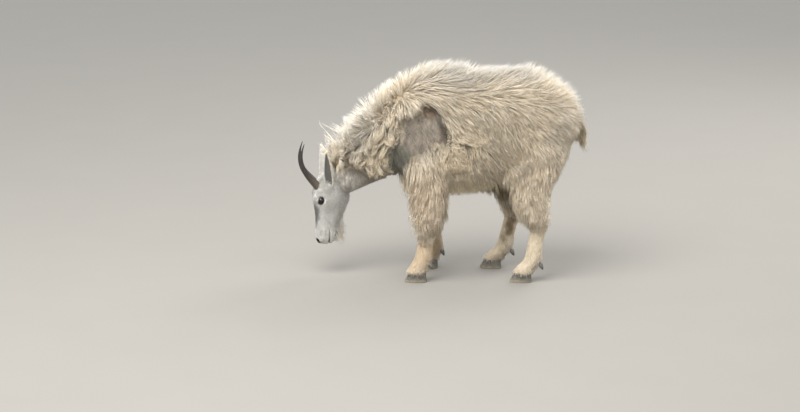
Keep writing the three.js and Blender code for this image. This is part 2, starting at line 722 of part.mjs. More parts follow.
function makeDewclaw(leg, half) {
  const r = HOOF.dewclaw * 0.5;
  const middle = vec(leg.fetlock + 36, leg.side * TRACK + half * 17, HOOF.dewclawHeight);
  return ringedSolid(6, 3, (t, angle, reach) => {
    const swell = r * Math.sin(Math.PI * mix(0.22, 0.86, t)) * reach;
    const [back, aside, down] = [swell * Math.sin(angle), swell * Math.cos(angle) * 0.8, mix(14, -16, t)];
    return middle.clone().add(vec(mix(-6, 9, t) + back, aside, down));
  });
}

function tailMiddle(t) {
  const back = TAIL.back * Math.sin(Math.PI * 0.5 * t) - 30 * (1 - t) ** 3;
  return vec(TAIL.x + back, 0, TAIL.z - TAIL.drop * t ** 1.2);
}

// The tail hangs as a short core with a fringe of locks down both sides and over its end.
function tailPieces() {
  const halfAt = (t) => TAIL.half * Math.sin(Math.PI * mix(0.3, 0.93, t));
  const point = (t, angle, depth) => {
    const half = halfAt(clamp(t, 0, 1)) + depth;
    return tailMiddle(t).add(vec(half * 0.7 * Math.sin(angle), half * Math.cos(angle), 0));
  };
  const fringe = { point, coat: () => COAT.tail, coreDepth: () => 4 };
  const core = ringedSolid(8, 5, (t, angle, reach) =>
    tailMiddle(t * 0.85).lerp(point(t * 0.85, angle, 4), reach),
  );
  const pieces = [core];
  for (let i = 0; i < TAIL_LOCK.count; i++) {
    const angle = mix(-0.05, 1.05, i / (TAIL_LOCK.count - 1)) * Math.PI;
    pieces.push(lockOn(fringe, 0.25 + 0.3 * (i % 2), angle, { ...TAIL_LOCK, around: 0, sink: 8 }));
  }
  return pieces;
}

const goat = new THREE.Group();

// A solid as a named mesh of the goat.
function addPart(name, form, finish) {
  const mesh = form.solid.getMesh();
  const points = new Float32Array(mesh.numVert * 3);
  for (let i = 0; i < mesh.numVert; i++) {
    points.set(mesh.vertProperties.subarray(i * mesh.numProp, i * mesh.numProp + 3), i * 3);
  }
  const geometry = new THREE.BufferGeometry();
  geometry.setAttribute("position", new THREE.BufferAttribute(points, 3));
  geometry.setIndex(new THREE.BufferAttribute(new Uint32Array(mesh.triVerts), 1));
  geometry.computeVertexNormals();
  const material = new THREE.MeshStandardMaterial({ ...COLOURS[finish], metalness: 0 });
  const part = new THREE.Mesh(geometry, material);
  part.name = name;
  goat.add(part);
}

const SIDES = { left: -1, right: 1 };
const single = (piece) => formOf([piece]);
const eyes = Object.values(SIDES).map((side) => single(makeEye(side)));
const head = makeHead(eyes);
const torso = formOf(trunkPieces());
const neck = clearOf(formOf(neckPieces()), [head, torso]);

addPart("head", head, "short");
Object.entries(SIDES).forEach(([name, side], i) => {
  addPart("eye_" + name, eyes[i], "eye");
  addPart("horn_" + name, clearOf(single(makeHorn(side)), [head, neck]), "horn");
  addPart("ear_" + name, clearOf(single(makeEar(side)), [head, neck]), "short");
});
addPart("neck", neck, "wool");
addPart("torso", torso, "wool");
addPart("tail", clearOf(formOf(tailPieces()), [torso]), "wool");

for (const [name, leg] of Object.entries(LEGS)) {
  const halves = { inner: -leg.side, outer: leg.side };
  const claws = Object.values(halves).map((half) => single(makeClaw(leg, half)));
  const lower = clearOf(single(makeLowerLeg(name, leg)), claws);
  addPart(name + "_upper_leg", clearOf(formOf(upperLegPieces(name, leg)), [torso, neck, lower]), "wool");
  addPart(name + "_lower_leg", lower, "leg");
  Object.entries(halves).forEach(([half, where], i) => {
    addPart(name + "_claw_" + half, claws[i], "hoof");
    addPart(name + "_dewclaw_" + half, clearOf(single(makeDewclaw(leg, where)), [lower]), "hoof");
  });
}

// The origin is on the ground under the middle of the whole.
const bounds = new THREE.Box3().setFromObject(goat);
const centre = bounds.getCenter(vec(0, 0, 0));
goat.position.set(-centre.x, -centre.y, -bounds.min.z);

export default goat;
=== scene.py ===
import json
import math

import bmesh
import bpy
import numpy as np
from mathutils import Matrix, Vector
from mathutils.bvhtree import BVHTree
from mathutils.kdtree import KDTree

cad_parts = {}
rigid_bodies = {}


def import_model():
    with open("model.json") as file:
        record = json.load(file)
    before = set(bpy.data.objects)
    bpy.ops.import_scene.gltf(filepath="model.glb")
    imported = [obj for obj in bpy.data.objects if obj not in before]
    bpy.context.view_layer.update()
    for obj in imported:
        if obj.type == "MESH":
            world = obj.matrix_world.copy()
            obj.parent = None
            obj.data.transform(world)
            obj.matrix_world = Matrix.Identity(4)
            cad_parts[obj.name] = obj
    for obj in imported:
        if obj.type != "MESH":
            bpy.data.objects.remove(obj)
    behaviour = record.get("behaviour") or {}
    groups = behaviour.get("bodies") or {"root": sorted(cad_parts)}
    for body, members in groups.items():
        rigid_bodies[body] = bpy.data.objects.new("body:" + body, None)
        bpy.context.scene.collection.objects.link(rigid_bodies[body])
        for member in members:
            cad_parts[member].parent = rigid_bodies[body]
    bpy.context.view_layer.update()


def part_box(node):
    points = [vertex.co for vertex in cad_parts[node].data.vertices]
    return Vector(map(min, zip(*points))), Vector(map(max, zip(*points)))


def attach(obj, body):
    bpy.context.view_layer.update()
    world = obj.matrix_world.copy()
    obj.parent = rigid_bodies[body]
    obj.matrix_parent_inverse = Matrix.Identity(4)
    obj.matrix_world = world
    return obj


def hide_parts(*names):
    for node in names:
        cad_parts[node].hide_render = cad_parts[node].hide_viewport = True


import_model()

bl_info = {
    "name": "Mountain Goat",
    "version": (1, 0, 0),
    "blender": (4, 5, 0),
    "location": "View3D > Sidebar > Goat",
    "description": "Gives the goat's solids their hide, coat, eyes, horns and hooves, and sets a plain stage",
    "category": "Object",
}

MM = 0.001

# Sizes in millimetres, in the animal's own frame: it faces -X, its right side is +Y, and Z runs up.
# Trunk under the coat: x, top, bottom, half width.
TRUNK = np.array([
    (-240, 690, 560, 50), (-200, 800, 490, 98), (-120, 884, 452, 124), (-30, 914, 446, 138),
    (110, 890, 454, 152), (250, 897, 466, 154), (370, 877, 490, 146), (465, 838, 520, 132),
    (545, 782, 606, 104), (594, 724, 650, 62),
], float)
# Neck under the mane: x, z, half depth, half width, forward lean in degrees.
NECK = np.array([
    (-40, 770, 132, 84, 20), (-130, 690, 156, 92, 34), (-210, 622, 140, 88, 37), (-290, 560, 112, 76, 34),
    (-362, 510, 92, 64, 29), (-418, 470, 78, 56, 22), (-458, 442, 66, 48, 15),
], float)
# Head, in its own frame: along from poll to nose, height of the brow and of the jaw, half width.
HEAD = np.array([
    (0, 28, -34, 38), (26, 62, -66, 56), (62, 82, -80, 63), (106, 86, -76, 61), (150, 84, -60, 51),
    (198, 83, -36, 41), (240, 85, -16, 34), (280, 88, -12, 33), (305, 83, -6, 30), (320, 70, 10, 20),
], float)
POLL = (-497, 0, 470)
HEAD_TURN, HEAD_TUCK = 10, 3
EYE = {"along": 106, "height": 58, "aside": 46, "radius": 16, "lid": 2.2}
# The opening of the lids: its tilt in degrees, half its length and half its height.
LIDS = (14, 13.5, 9.4)
# Mounds and hollows of the face: along, height, length, breadth, lift, and how far aside they begin.
FACE_FORMS = [
    (88, 76, 26, 12, 5, 18), (128, 40, 30, 12, 4, 18), (170, 52, 34, 10, 3, 18), (98, 62, 34, 25, 4, 18),
    (92, -28, 34, 26, 5, 18), (172, 12, 30, 18, -4, 18), (128, -50, 24, 16, 2, 18), (292, 66, 20, 15, 3, 10),
    (262, 46, 26, 16, 3, 10),
]
# The near nostril: along, height and aside.
NOSTRIL = (300, 76, 17)
MOUTH_CORNER, MOUTH_HEIGHT = 256, 24
HORN = {"along": 50, "height": 62, "aside": 25, "base": 19, "length": 232, "spread": 5, "tilt": (38, -22)}
EAR = {
    "along": 34, "height": 10, "aside": 47, "length": 158, "width": 46, "thick": 5, "splay": 0.2, "turn": 58,
}
TRACK = 122
# Each leg: its side, and x of its root, elbow, knee, fetlock and foot.
LEGS = {
    "front_left": (-1, -62, -46, -55, -80, -112),
    "front_right": (1, -50, -32, -24, -24, -56),
    "hind_left": (-1, 430, 402, 445, 418, 364),
    "hind_right": (1, 400, 345, 340, 298, 236),
}
KNEE_HEIGHT, HOCK_HEIGHT, FETLOCK_HEIGHT = 238, 272, 104
HOOF = {"long": 100, "wide": 33, "tall": 44, "gap": 7, "dewclaw": 20, "dewclaw_height": 76}
TAIL = {"x": 602, "z": 742, "drop": 116, "back": 40, "half": 27}

# Depth of the coat over the hide.
COAT = {
    "ridge": 104, "side": 52, "belly": 74, "hump": 96, "mane": 142, "thigh": 42, "forearm": 46, "tail": 26,
}
SHORT_HAIR = 6
TALLEST = 985
FLANK_TUFT_X = 268
# A coat deeper than this is wool, and wool more matted than this is fleece.
WOOL_FROM = 13
FLEECE_FROM = 0.72
# Where the wool has been shed, as outlines drawn on the side of the body: x and z of their corners.
BARE_SHOULDER = [
    (-159, 747), (-100, 775), (-64, 817), (-32, 810), (0, 777), (5, 735), (36, 721), (41, 665),
    (5, 637), (-27, 646), (-55, 618), (-91, 590), (-127, 571), (-159, 533), (-191, 438), (-223, 523),
    (-237, 578), (-218, 615), (-182, 652), (-173, 699),
]
BARE_THROAT = [
    (-530, 500), (-475, 520), (-455, 517), (-400, 541), (-378, 527), (-341, 511), (-309, 483), (-285, 455),
    (-300, 360), (-480, 360), (-560, 440),
]
FLESH = ["head", "neck", "torso", "tail", "ear_left", "ear_right"]
FLESH += [leg + part for leg in LEGS for part in ("_upper_leg", "_lower_leg")]

# The grain at which the parts of the hide are fused.
VOXEL = 7
# Kinds of hair: how many lengths each tuft bends in, and how light its root and its tip are, the darker root
# being painted shade deep in the coat.
KINDS = {"fleece": 7, "wool": 4, "hair": 2}
TUFT_SHADES = {"fleece": (0.74, 1.14), "wool": (0.86, 1.04), "hair": (0.88, 1.04)}
# The most triangles in a piece of the coat, and how wide a tuft lies in the map.
PIECE_TRIANGLES = 190000
PATCH = 0.003
# What each point of the hide says of the hair that grows there. The last three stay sharp at their edges.
FIELDS = [
    "depth", "length", "hang", "width", "curl", "matted", "density", "x", "y", "z", "dark", "cup", "bare",
]
SHARP = FIELDS[-3:]
# Slow waves in the lie of the wool: their direction and where they start.
WAVES = [
    (np.array([0.021, 0.013, 0.017]), 0.4),
    (np.array([-0.012, 0.024, 0.019]), 2.1),
    (np.array([0.016, -0.018, 0.026]), 4.4),
]
DOWN = np.array([0.0, 0.0, -1.0])
# The lie of the tail's hair, and what is said of it.
TAIL_HAIR = (np.array([0.12, 0, -1.0]), {
    "depth": COAT["tail"], "length": 78, "hang": 1, "width": 1.8, "curl": 1.5, "matted": 0.5, "density": 40,
})

# Where the coat changes colour: middle and size of an oval in the animal's frame, with both sides alike,
# the colour, its strength, and the shares of the oval between which it fades.
# Three of these ovals are painted shade and one is painted light, as noted at each.
MARKS = [
    ((420, 150, 560), (190, 120, 330), (254, 236, 208), 0.8, 0.3, 1.0),
    # Painted light: the underside made paler to stand in for light that its own shade keeps from it.
    ((150, 0, 440), (420, 190, 140), (255, 238, 202), 0.95, 0.4, 1.1),
    ((-40, 150, 430), (120, 120, 190), (236, 214, 184), 0.7, 0.4, 1.0),
    ((60, 170, 620), (150, 110, 110), (210, 188, 152), 0.6, 0.2, 1.0),
    ((-290, 90, 640), (170, 120, 130), (218, 200, 168), 0.75, 0.3, 1.0),
    # Painted shade: the ridge greyer than the sides, to hold back the light that falls on it from overhead.
    ((200, 0, 985), (640, 190, 190), (186, 182, 175), 0.9, 0.3, 1.0),
    ((-390, 0, 700), (240, 84, 190), (228, 218, 200), 0.95, 0.45, 1.0),
    ((470, 90, 700), (90, 120, 150), (236, 224, 204), 0.5, 0.3, 1.0),
    ((622, 0, 690), (60, 80, 120), (186, 164, 128), 0.8, 0.4, 1.1),
    ((268, 0, 452), (100, 175, 84), (94, 76, 44), 0.95, 0.7, 1.05),
    ((-90, 122, 130), (120, 70, 120), (224, 200, 166), 0.8, 0.5, 1.1),
    ((-50, 122, 285), (75, 70, 42), (164, 140, 104), 0.85, 0.4, 1.1),
    ((390, 122, 300), (100, 70, 45), (190, 168, 132), 0.6, 0.4, 1.1),
    # Painted shade with some brown stain: the inner sides of the legs, between which shade falls, darker and
    # browner, the hind pair most.
    ((-20, 70, 180), (160, 44, 230), (176, 150, 115), 0.8, 0.5, 1.05),
    ((340, 66, 180), (230, 44, 260), (116, 92, 58), 0.88, 0.5, 1.05),
]
WOOL = (236, 220, 193)
# The same on the head, where a middle and a size are along, height and aside.
# Three of these, on the bridge, round the eye and on the cheek, are painted shade.
HEAD_MARKS = [
    ((170, 0, 0), (200, 150, 120), (218, 216, 209), 1.0, 0.8, 1.02),
    ((-40, 50, 0), (135, 78, 120), (222, 219, 211), 1.0, 0.75, 1.02),
    # Painted shade: the front of the nose bridge, turned from the light, dark grey.
    ((178, 82, 0), (78, 26, 60), (88, 86, 82), 0.9, 0.4, 1.0),
    # Painted shade: grey round the eye for the shadow of the brow and socket.
    ((106, 58, 60), (44, 34, 40), (150, 147, 141), 0.65, 0.2, 1.0),
    # Painted shade: grey in the hollow below the cheekbone.
    ((160, 10, 50), (60, 40, 40), (190, 188, 182), 0.6, 0.3, 1.0),
    ((284, 40, 0), (62, 50, 60), (160, 157, 151), 0.95, 0.4, 1.0),
    ((262, -36, 0), (74, 56, 40), (214, 198, 170), 0.9, 0.45, 1.0),
]
# Short hair where the wool is gone: the same marks again, from brown over the shoulder to grey-green below.
# The grey-green below and the dark oval at the right edge are painted shade.
SHED = (156, 145, 131)
SHED_MARKS = [
    ((-60, 130, 790), (90, 100, 50), (134, 112, 90), 0.8, 0.3, 1.0),
    # Painted shade: a dark oval at the patch's right edge, under the overhanging wool.
    ((30, 150, 715), (62, 100, 120), (96, 82, 68), 0.8, 0.3, 1.0),
    # Painted shade: the lower, forward part of the patch grey-green and dark, turned from the light.
    ((-190, 90, 540), (80, 120, 110), (112, 112, 100), 0.9, 0.5, 1.0),
    ((-400, 60, 540), (120, 120, 60), (178, 162, 144), 0.9, 0.4, 1.0),
    ((-430, 60, 420), (150, 120, 84), (212, 205, 195), 0.95, 0.4, 1.1),
]

# Where the camera looks, in the animal's frame, its rise in degrees, and the width it sees in metres.
CAMERA_AIM = (-182, 0, 321)
CAMERA_RISE = 14
CAMERA_WIDTH = 3.64
# The lamps: their places and widths in metres, and their shares of the key light's power.
LAMPS = (("key", (-1.6, -2.6, 5.2), 4.0, 1.0), ("rim", (2.8, 3.0, 3.6), 3.0, 0.25))


def ease(low, high, value):
    share = np.clip((value - low) / (high - low), 0, 1)
    return share * share * (3 - 2 * share)


def mix(a, b, share):
    return a + (b - a) * share


def unit(vectors):
    return vectors / np.maximum(np.linalg.norm(vectors, axis=-1, keepdims=True), 1e-9)


def points(x, y, z):
    return np.stack(np.broadcast_arrays(np.asarray(x, float), np.asarray(y, float), np.asarray(z, float)), -1)


def linear(colour):
    """A colour written as red, green and blue from 0 to 255, as the shader reads it."""
    parts = [c / 255 for c in colour]
    return tuple(c / 12.92 if c <= 0.04045 else ((c + 0.055) / 1.055) ** 2.4 for c in parts) + (1.0,)


def stations_at(stations, t):
    """The sizes at share t of the way through a table, on a smooth curve through its rows."""
    last = len(stations) - 1
    place = np.clip(np.asarray(t, float), 0, 1) * last
    i = np.minimum(np.floor(place).astype(int), last - 1)
    f = (place - i)[..., None]
    a, b, c, d = (stations[np.clip(i + k, 0, last)] for k in (-1, 0, 1, 2))
    sizes = 0.5 * (2 * b + (c - a) * f + (2 * a - 5 * b + 4 * c - d) * f**2 + (3 * b - a - 3 * c + d) * f**3)
    return np.moveaxis(sizes, -1, 0)


def section(angle, squareness):
    side, up = np.cos(angle), np.sin(angle)
    power = 2 / squareness
    return np.sign(side) * np.abs(side) ** power, np.sign(up) * np.abs(up) ** power


HEAD_PLACE = (
    Matrix.Translation(POLL)
    @ Matrix.Rotation(math.radians(HEAD_TURN), 4, "Z")
    @ Matrix.Rotation(math.radians(-HEAD_TUCK), 4, "Y")
)
HEAD_AXES = np.array(HEAD_PLACE.to_3x3())


def head_point(along, height, aside):
    return points(-np.asarray(height, float), aside, -np.asarray(along, float)) @ HEAD_AXES.T + np.array(POLL)


def head_frame(places):
    """Along, height and aside of places given in the animal's frame."""
    own = (places - np.array(POLL)) @ HEAD_AXES
    return -own[..., 2], -own[..., 0], own[..., 1]


def head_heading(along, height, aside=0.0):
    return head_point(along, height, aside) - head_point(0, 0, 0)


# The solids stand with the middle of their box at the origin, so the animal's frame is moved to it.
eye_low, eye_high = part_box("eye_left")
EYE_DESIGN = head_point(EYE["along"], EYE["height"], -EYE["aside"])
SHIFT = np.array((eye_low + eye_high) / 2) / MM - EYE_DESIGN
SHIFT[2] = 0


def to_frame(places):
    return (np.asarray(places) + SHIFT) * MM


def to_animal(places):
    return np.asarray(places) / MM - SHIFT


def trunk_skin(t, angle):
    x, top, bottom, half = stations_at(TRUNK, t)
    middle = mix(bottom, top, 0.46)
    side, up = section(angle, 2.15)
    reach = np.where(up > 0, top - middle, middle - bottom)
    return points(x, side * half, middle + up * reach)


def neck_skin(t, angle):
    x, z, deep, half, lean = stations_at(NECK, t)
    side, up = section(angle, 2)
    lean = np.radians(lean)
    return points(x - np.sin(lean) * up * deep, side * half, z + np.cos(lean) * up * deep)


def head_skin(t, angle):
    along, brow, jaw, half = stations_at(HEAD, t)
    middle = mix(jaw, brow, 0.52)
    side, up = section(angle, 2.35)
    span = np.where(up > 0, brow - middle, middle - jaw)
    narrowing = 1 - mix(0.42, 0.16, ease(0.5, 0.9, t)) * np.maximum(0, -up) ** 1.4
    return head_point(along, middle + up * span, side * half * narrowing)


def ear_skin(side):
    turn = math.radians(EAR["turn"])

    def skin(t, angle):
        width = EAR["width"] * 0.5 * np.sin(np.pi * mix(0.2, 0.985, t**0.85)) ** 0.8
        across = np.cos(angle)
        thick = EAR["thick"] * mix(1, 0.45, t) * np.sin(angle) * 0.8
        roll = mix(1.35, 0.9, t)
        cup = (1 - np.cos(across * roll)) * width * 0.95 + thick * np.cos(across * roll)
        wide = np.sin(across * roll) * width - thick * np.sin(across * roll)
        out = EAR["aside"] + EAR["splay"] * EAR["length"] * t
        height = EAR["height"] + cup * math.cos(turn) - wide * math.sin(turn) + 14 * t
        aside = side * (out + cup * math.sin(turn) + wide * math.cos(turn))
        return head_point(EAR["along"] - EAR["length"] * t + 18 * (1 - t) ** 4, height, aside)

    return skin


def leg_tables(name):
    """Upper and lower stations of a leg: x, z, half length, half width, y."""
    side, root, elbow, knee, fetlock, foot = LEGS[name]

    def at(x, z, long, wide, inset):
        return (x, z, long, wide, side * (TRACK - inset))

    if name.startswith("hind"):
        tall = HOCK_HEIGHT
        upper = [
            at(root, 620, 118, 52, 34), at(mix(root, elbow, 0.6), 520, 106, 52, 22),
            at(elbow, 430, 72, 46, 12), at(mix(elbow, knee, 0.15), 345, 60, 38, 4),
            at(mix(elbow, knee, 0.6), 298, 44, 31, 0), at(knee, tall - 12, 37, 30, 0),
        ]
    else:
        tall = KNEE_HEIGHT
        upper = [
            at(root, 620, 86, 40, 36), at(mix(root, elbow, 0.5), 520, 74, 42, 22), at(elbow, 430, 56, 38, 10),
            at(mix(elbow, knee, 0.6), 320, 42, 34, 2), at(knee, tall, 35, 30, 0),
            at(mix(knee, fetlock, 0.3), tall - 32, 34, 28, 0),
        ]
    lower = [
        at(knee, tall + 26, 36, 30, 0), at(knee, tall - 14, 38, 31, 0),
        at(mix(knee, fetlock, 0.5), mix(tall, FETLOCK_HEIGHT, 0.5), 34, 27, 0),
        at(fetlock, FETLOCK_HEIGHT, 38, 32, 0), at(mix(fetlock, foot, 0.5), 70, 42, 34, 0),
        at(mix(fetlock, foot, 0.85), 38, 47, 38, 0),
    ]
    return np.array(upper, float), np.array(lower, float)


def leg_skin(stations):
    def skin(t, angle):
        x, z, long, wide, y = stations_at(stations, t)
        return points(x + np.sin(angle) * long, y + np.cos(angle) * wide, z)

    return skin


def tail_skin(t, angle):
    middle_x = TAIL["x"] + TAIL["back"] * np.sin(np.pi * 0.5 * t) - 30 * (1 - t) ** 3
    half = TAIL["half"] * np.sin(np.pi * mix(0.3, 0.93, t))
    height = TAIL["z"] - TAIL["drop"] * t**1.2
    return points(middle_x + half * 0.7 * np.sin(angle), half * np.cos(angle), height)


# Every part of the body: its kind, its surface, and how many rings and sides it is drawn with.
BODY = [("trunk", trunk_skin, 40, 64), ("neck", neck_skin, 26, 48), ("head", head_skin, 40, 48)]
BODY.append(("tail", tail_skin, 12, 20))
for leg_name in LEGS:
    upper_table, lower_table = leg_tables(leg_name)
    BODY.append(("upper_" + leg_name, leg_skin(upper_table), 26, 32))
    BODY.append(("lower_" + leg_name, leg_skin(lower_table), 30, 28))
EARS = [("ear_left", ear_skin(-1), 26, 32), ("ear_right", ear_skin(1), 26, 32)]


def loft(bm, skin, rings, sides):
    """A closed body in a bmesh: rings of a surface, bridged one to the next, with a lid on each end."""
    angles = np.arange(sides) * 2 * np.pi / sides
    before, first = None, None
    for t in np.linspace(0, 1, rings):
        circle = bmesh.ops.create_circle(bm, cap_ends=False, segments=sides, radius=1)["verts"]
        circle.sort(key=lambda v: math.atan2(v.co.y, v.co.x) % (2 * math.pi))
        for vert, place in zip(circle, to_frame(skin(np.full(sides, t), angles))):
            vert.co = place
        edges = [bm.edges.get((circle[i], circle[i - 1])) for i in range(sides)]
        if before is None:
            first = edges
        else:
            bmesh.ops.bridge_loops(bm, edges=before + edges)
        before = edges
    for ring in (first, before):
        bmesh.ops.contextual_create(bm, geom=ring)


def link(name, data):
    piece = bpy.data.objects.new(name, data)
    bpy.context.scene.collection.objects.link(piece)
    return piece


def keep_mesh(bm, name):
    mesh = bpy.data.meshes.new(name)
    bm.to_mesh(mesh)
    bm.free()
    mesh.shade_smooth()
    return link(name, mesh)


def read(source, name, width, kind=float):
    """What a mesh says of each of its points, edges, corners or faces, in rows."""
    values = np.empty(len(source) * width, kind)
    source.foreach_get(name, values)
    return values.reshape(-1, width)


def store(mesh, fact, values):
    """Keeps a number or a place at each point of a mesh."""
    kind, entry = ("FLOAT", "value") if np.ndim(values) == 1 else ("FLOAT_VECTOR", "vector")
    mesh.attributes.new(fact, kind, "POINT").data.foreach_set(entry, np.asarray(values, np.float32).ravel())


def arrays_of(mesh):
    """Places and outward directions of a mesh's points, in the animal's frame."""
    return to_animal(read(mesh.vertices, "co", 3)), read(mesh.vertex_normals, "vector", 3)


def nearest(stock, places):
    """For each place, which one of a stock of places is nearest."""
    tree = KDTree(len(stock))
    for i, place in enumerate(stock):
        tree.insert(place, i)
    tree.balance()
    return np.array([tree.find(place)[1] for place in places])


def head_faces(bm, low, high):
    """Which faces lie along the head between two lengths, and their places in its frame."""
    places = to_animal(np.array([f.calc_center_median() for f in bm.faces]))
    along, height, aside = head_frame(places)
    chosen = (along > low) & (along < high) & (np.abs(aside) < 96) & (np.abs(height) < 120)
    return chosen, along, height, aside


def refine(bm, chosen):
    faces = [f for f, wanted in zip(bm.faces, chosen) if wanted]
    edges = list({e for f in faces for e in f.edges})
    bmesh.ops.subdivide_edges(bm, edges=edges, cuts=1, use_grid_fill=True, smooth=0.3)


def by_eye(along, height, aside, reach):
    return (np.hypot(along - EYE["along"], height - EYE["height"]) < reach) & (np.abs(aside) > 25)


def eye_opening(along, height):
    """1 on the rim of the lids and less inside, with the place along the opening and across it."""
    tilt, half_long, half_tall = math.radians(LIDS[0]), LIDS[1], LIDS[2]
    da, dh = along - EYE["along"], height - EYE["height"]
    a, h = da * math.cos(tilt) + dh * math.sin(tilt), dh * math.cos(tilt) - da * math.sin(tilt)
    return np.hypot(a / half_long, h / half_tall), a, h


def mouth_line(along):
    return MOUTH_HEIGHT + 6 * ease(MOUTH_CORNER, 340, along)


def shape_head(bm):
    """Brow, cheeks, lids, nostrils and lips, moved out of and into the smooth head."""
    bm.normal_update()
    verts = list(bm.verts)
    places = to_animal(np.array([v.co for v in verts]))
    outs = np.array([v.normal for v in verts])
    along, height, aside = head_frame(places)
    near = (along > -30) & (along < 350) & (np.abs(aside) < 100) & (np.abs(height) < 125)
    wide = np.abs(aside)

    push = np.zeros(len(along))
    for a, h, long, broad, lift, start in FACE_FORMS:
        push += (lift * np.exp(-((along - a) / long) ** 2 - ((height - h) / broad) ** 2)
                 * ease(start - 8, start + 8, wide))
    push -= 3 * np.exp(-((along - 190) / 46) ** 2) * ease(70, 88, height) * ease(22, 8, wide)
    line = mouth_line(along)
    cheek = ease(MOUTH_CORNER - 8, MOUTH_CORNER + 8, along)
    for above, tall, lift in ((8, 5, 2.4), (-8, 6, 2.6), (0, 2.4, -4.4)):
        push += lift * np.exp(-((height - line - above) / tall) ** 2) * cheek
    da, dh, ds = along - NOSTRIL[0], height - NOSTRIL[1], wide - NOSTRIL[2]
    slit = np.sqrt(((da - 0.4 * ds) / 10) ** 2 + (dh / 11) ** 2 + ((ds + 0.25 * da) / 5.4) ** 2)
    push += 2.2 * np.exp(-((slit - 1.35) / 0.35) ** 2) - 9 * ease(1.05, 0.45, slit)
    places = places + outs * (push * near)[:, None]

    along, height, aside = head_frame(places)
    wide = np.abs(aside)
    opening, a, h = eye_opening(along, height)
    radius, off = EYE["radius"], np.hypot(a, h)
    over = radius + EYE["lid"]
    ball = EYE["aside"] + np.sqrt(np.maximum(over**2 - off**2, 0))
    socket = near & (wide > 22) & (off < 44)
    lid = np.maximum(wide, np.where(off < over, ball, 0))
    lid = mix(lid, wide, ease(radius + 1, radius + 9, off))
    fold = np.hypot(a / 20, (h - 3) / 14)
    lid -= 2.2 * np.exp(-((fold - 1) / 0.16) ** 2) * ease(0, 5, h)
    lid += 1.3 * np.exp(-((opening - 1.22) / 0.2) ** 2)
    behind = EYE["aside"] + np.sqrt(np.maximum(radius**2 - off**2, 0)) - 6
    target = mix(lid, behind, ease(1.12, 0.9, opening))
    aside = np.where(socket, np.sign(aside) * target, aside)
    places = np.where(near[:, None], head_point(along, height, aside), places)
    for vert, place in zip(verts, to_frame(places)):
        vert.co = place


def make_hide():
    """One closed hide: the parts of the body fused, smoothed and shaped, with the ears set into the head."""
    bm = bmesh.new()
    for _, skin, rings, sides in BODY:
        loft(bm, skin, rings, sides)
    bmesh.ops.recalc_face_normals(bm, faces=bm.faces)
    rough = keep_mesh(bm, "rough_body")
    fuse = rough.modifiers.new("Fuse", "REMESH")
    fuse.mode = "VOXEL"
    fuse.voxel_size = VOXEL * MM
    fused = rough.evaluated_get(bpy.context.evaluated_depsgraph_get()).to_mesh()
    bm = bmesh.new()
    bm.from_mesh(fused)
    bpy.data.objects.remove(rough)
    axes = {"use_axis_" + axis: True for axis in "xyz"}
    for _ in range(7):
        bmesh.ops.smooth_vert(bm, verts=bm.verts, factor=0.5, **axes)
    refine(bm, head_faces(bm, -10, 345)[0])
    chosen, along, height, aside = head_faces(bm, 60, 345)
    refine(bm, chosen & (by_eye(along, height, aside, 34) | (along > 244)))
    chosen, along, height, aside = head_faces(bm, 60, 345)
    by_nose = np.hypot(along - NOSTRIL[0], height - NOSTRIL[1]) < 22
    refine(bm, chosen & (by_eye(along, height, aside, 24) | by_nose))
    shape_head(bm)
    for _, skin, rings, sides in EARS:
        loft(bm, skin, rings, sides)
    bmesh.ops.triangulate(bm, faces=[f for f in bm.faces if len(f.verts) > 4])
    bmesh.ops.recalc_face_normals(bm, faces=bm.faces)
    return keep_mesh(bm, "hide")


def unwrap(piece):
    """Lays the hide's own surface out flat, as the map that its hairs share."""
    view = bpy.context.view_layer
    for other in view.objects:
        other.select_set(False)
    piece.select_set(True)
    view.objects.active = piece
    piece.data.uv_layers.new(name="OFBake")
    bpy.ops.object.mode_set(mode="EDIT")
    bpy.ops.mesh.select_all(action="SELECT")
    bpy.ops.uv.smart_project(angle_limit=math.radians(66), island_margin=0.002)
    bpy.ops.object.mode_set(mode="OBJECT")


def nearest_parts(places):
    """For each place the body part whose surface is nearest, and its t and angle there."""
    t, angle = np.meshgrid(np.linspace(0, 1, 50), np.arange(64) * 2 * np.pi / 64, indexing="ij")
    t, angle = t.ravel(), angle.ravel()
    names = [name for name, *_ in BODY + EARS]
    samples = np.concatenate([
        np.column_stack([skin(t, angle), np.full(t.size, number), t, angle])
        for number, (_, skin, *_) in enumerate(BODY + EARS)
    ])
    found = samples[nearest(samples[:, :3], places)]
    return names, found[:, 3].astype(int), found[:, 4], found[:, 5]


def inside(outline, places):
    """How far each place lies inside an outline, with a ragged edge."""
    x, z = places[:, 0], places[:, 2]
    ragged = 2.4 * (np.sin(x / 7 + z / 19) + np.sin(z / 5 - x / 13) + np.sin(x / 4.2 + z / 9))
    corners = np.array(outline, float)
    gap, crossings = np.full(len(x), np.inf), np.zeros(len(x), int)
    for a, b in zip(corners, np.roll(corners, -1, 0)):
        edge = b - a
        share = np.clip(((x - a[0]) * edge[0] + (z - a[1]) * edge[1]) / (edge @ edge), 0, 1)
        gap = np.minimum(gap, np.hypot(x - a[0] - share * edge[0], z - a[1] - share * edge[1]))
        if edge[1]:
            crossings += ((a[1] > z) != (b[1] > z)) & (x < edge[0] * (z - a[1]) / edge[1] + a[0])
    return np.where(crossings % 2 == 1, gap, -gap) + ragged


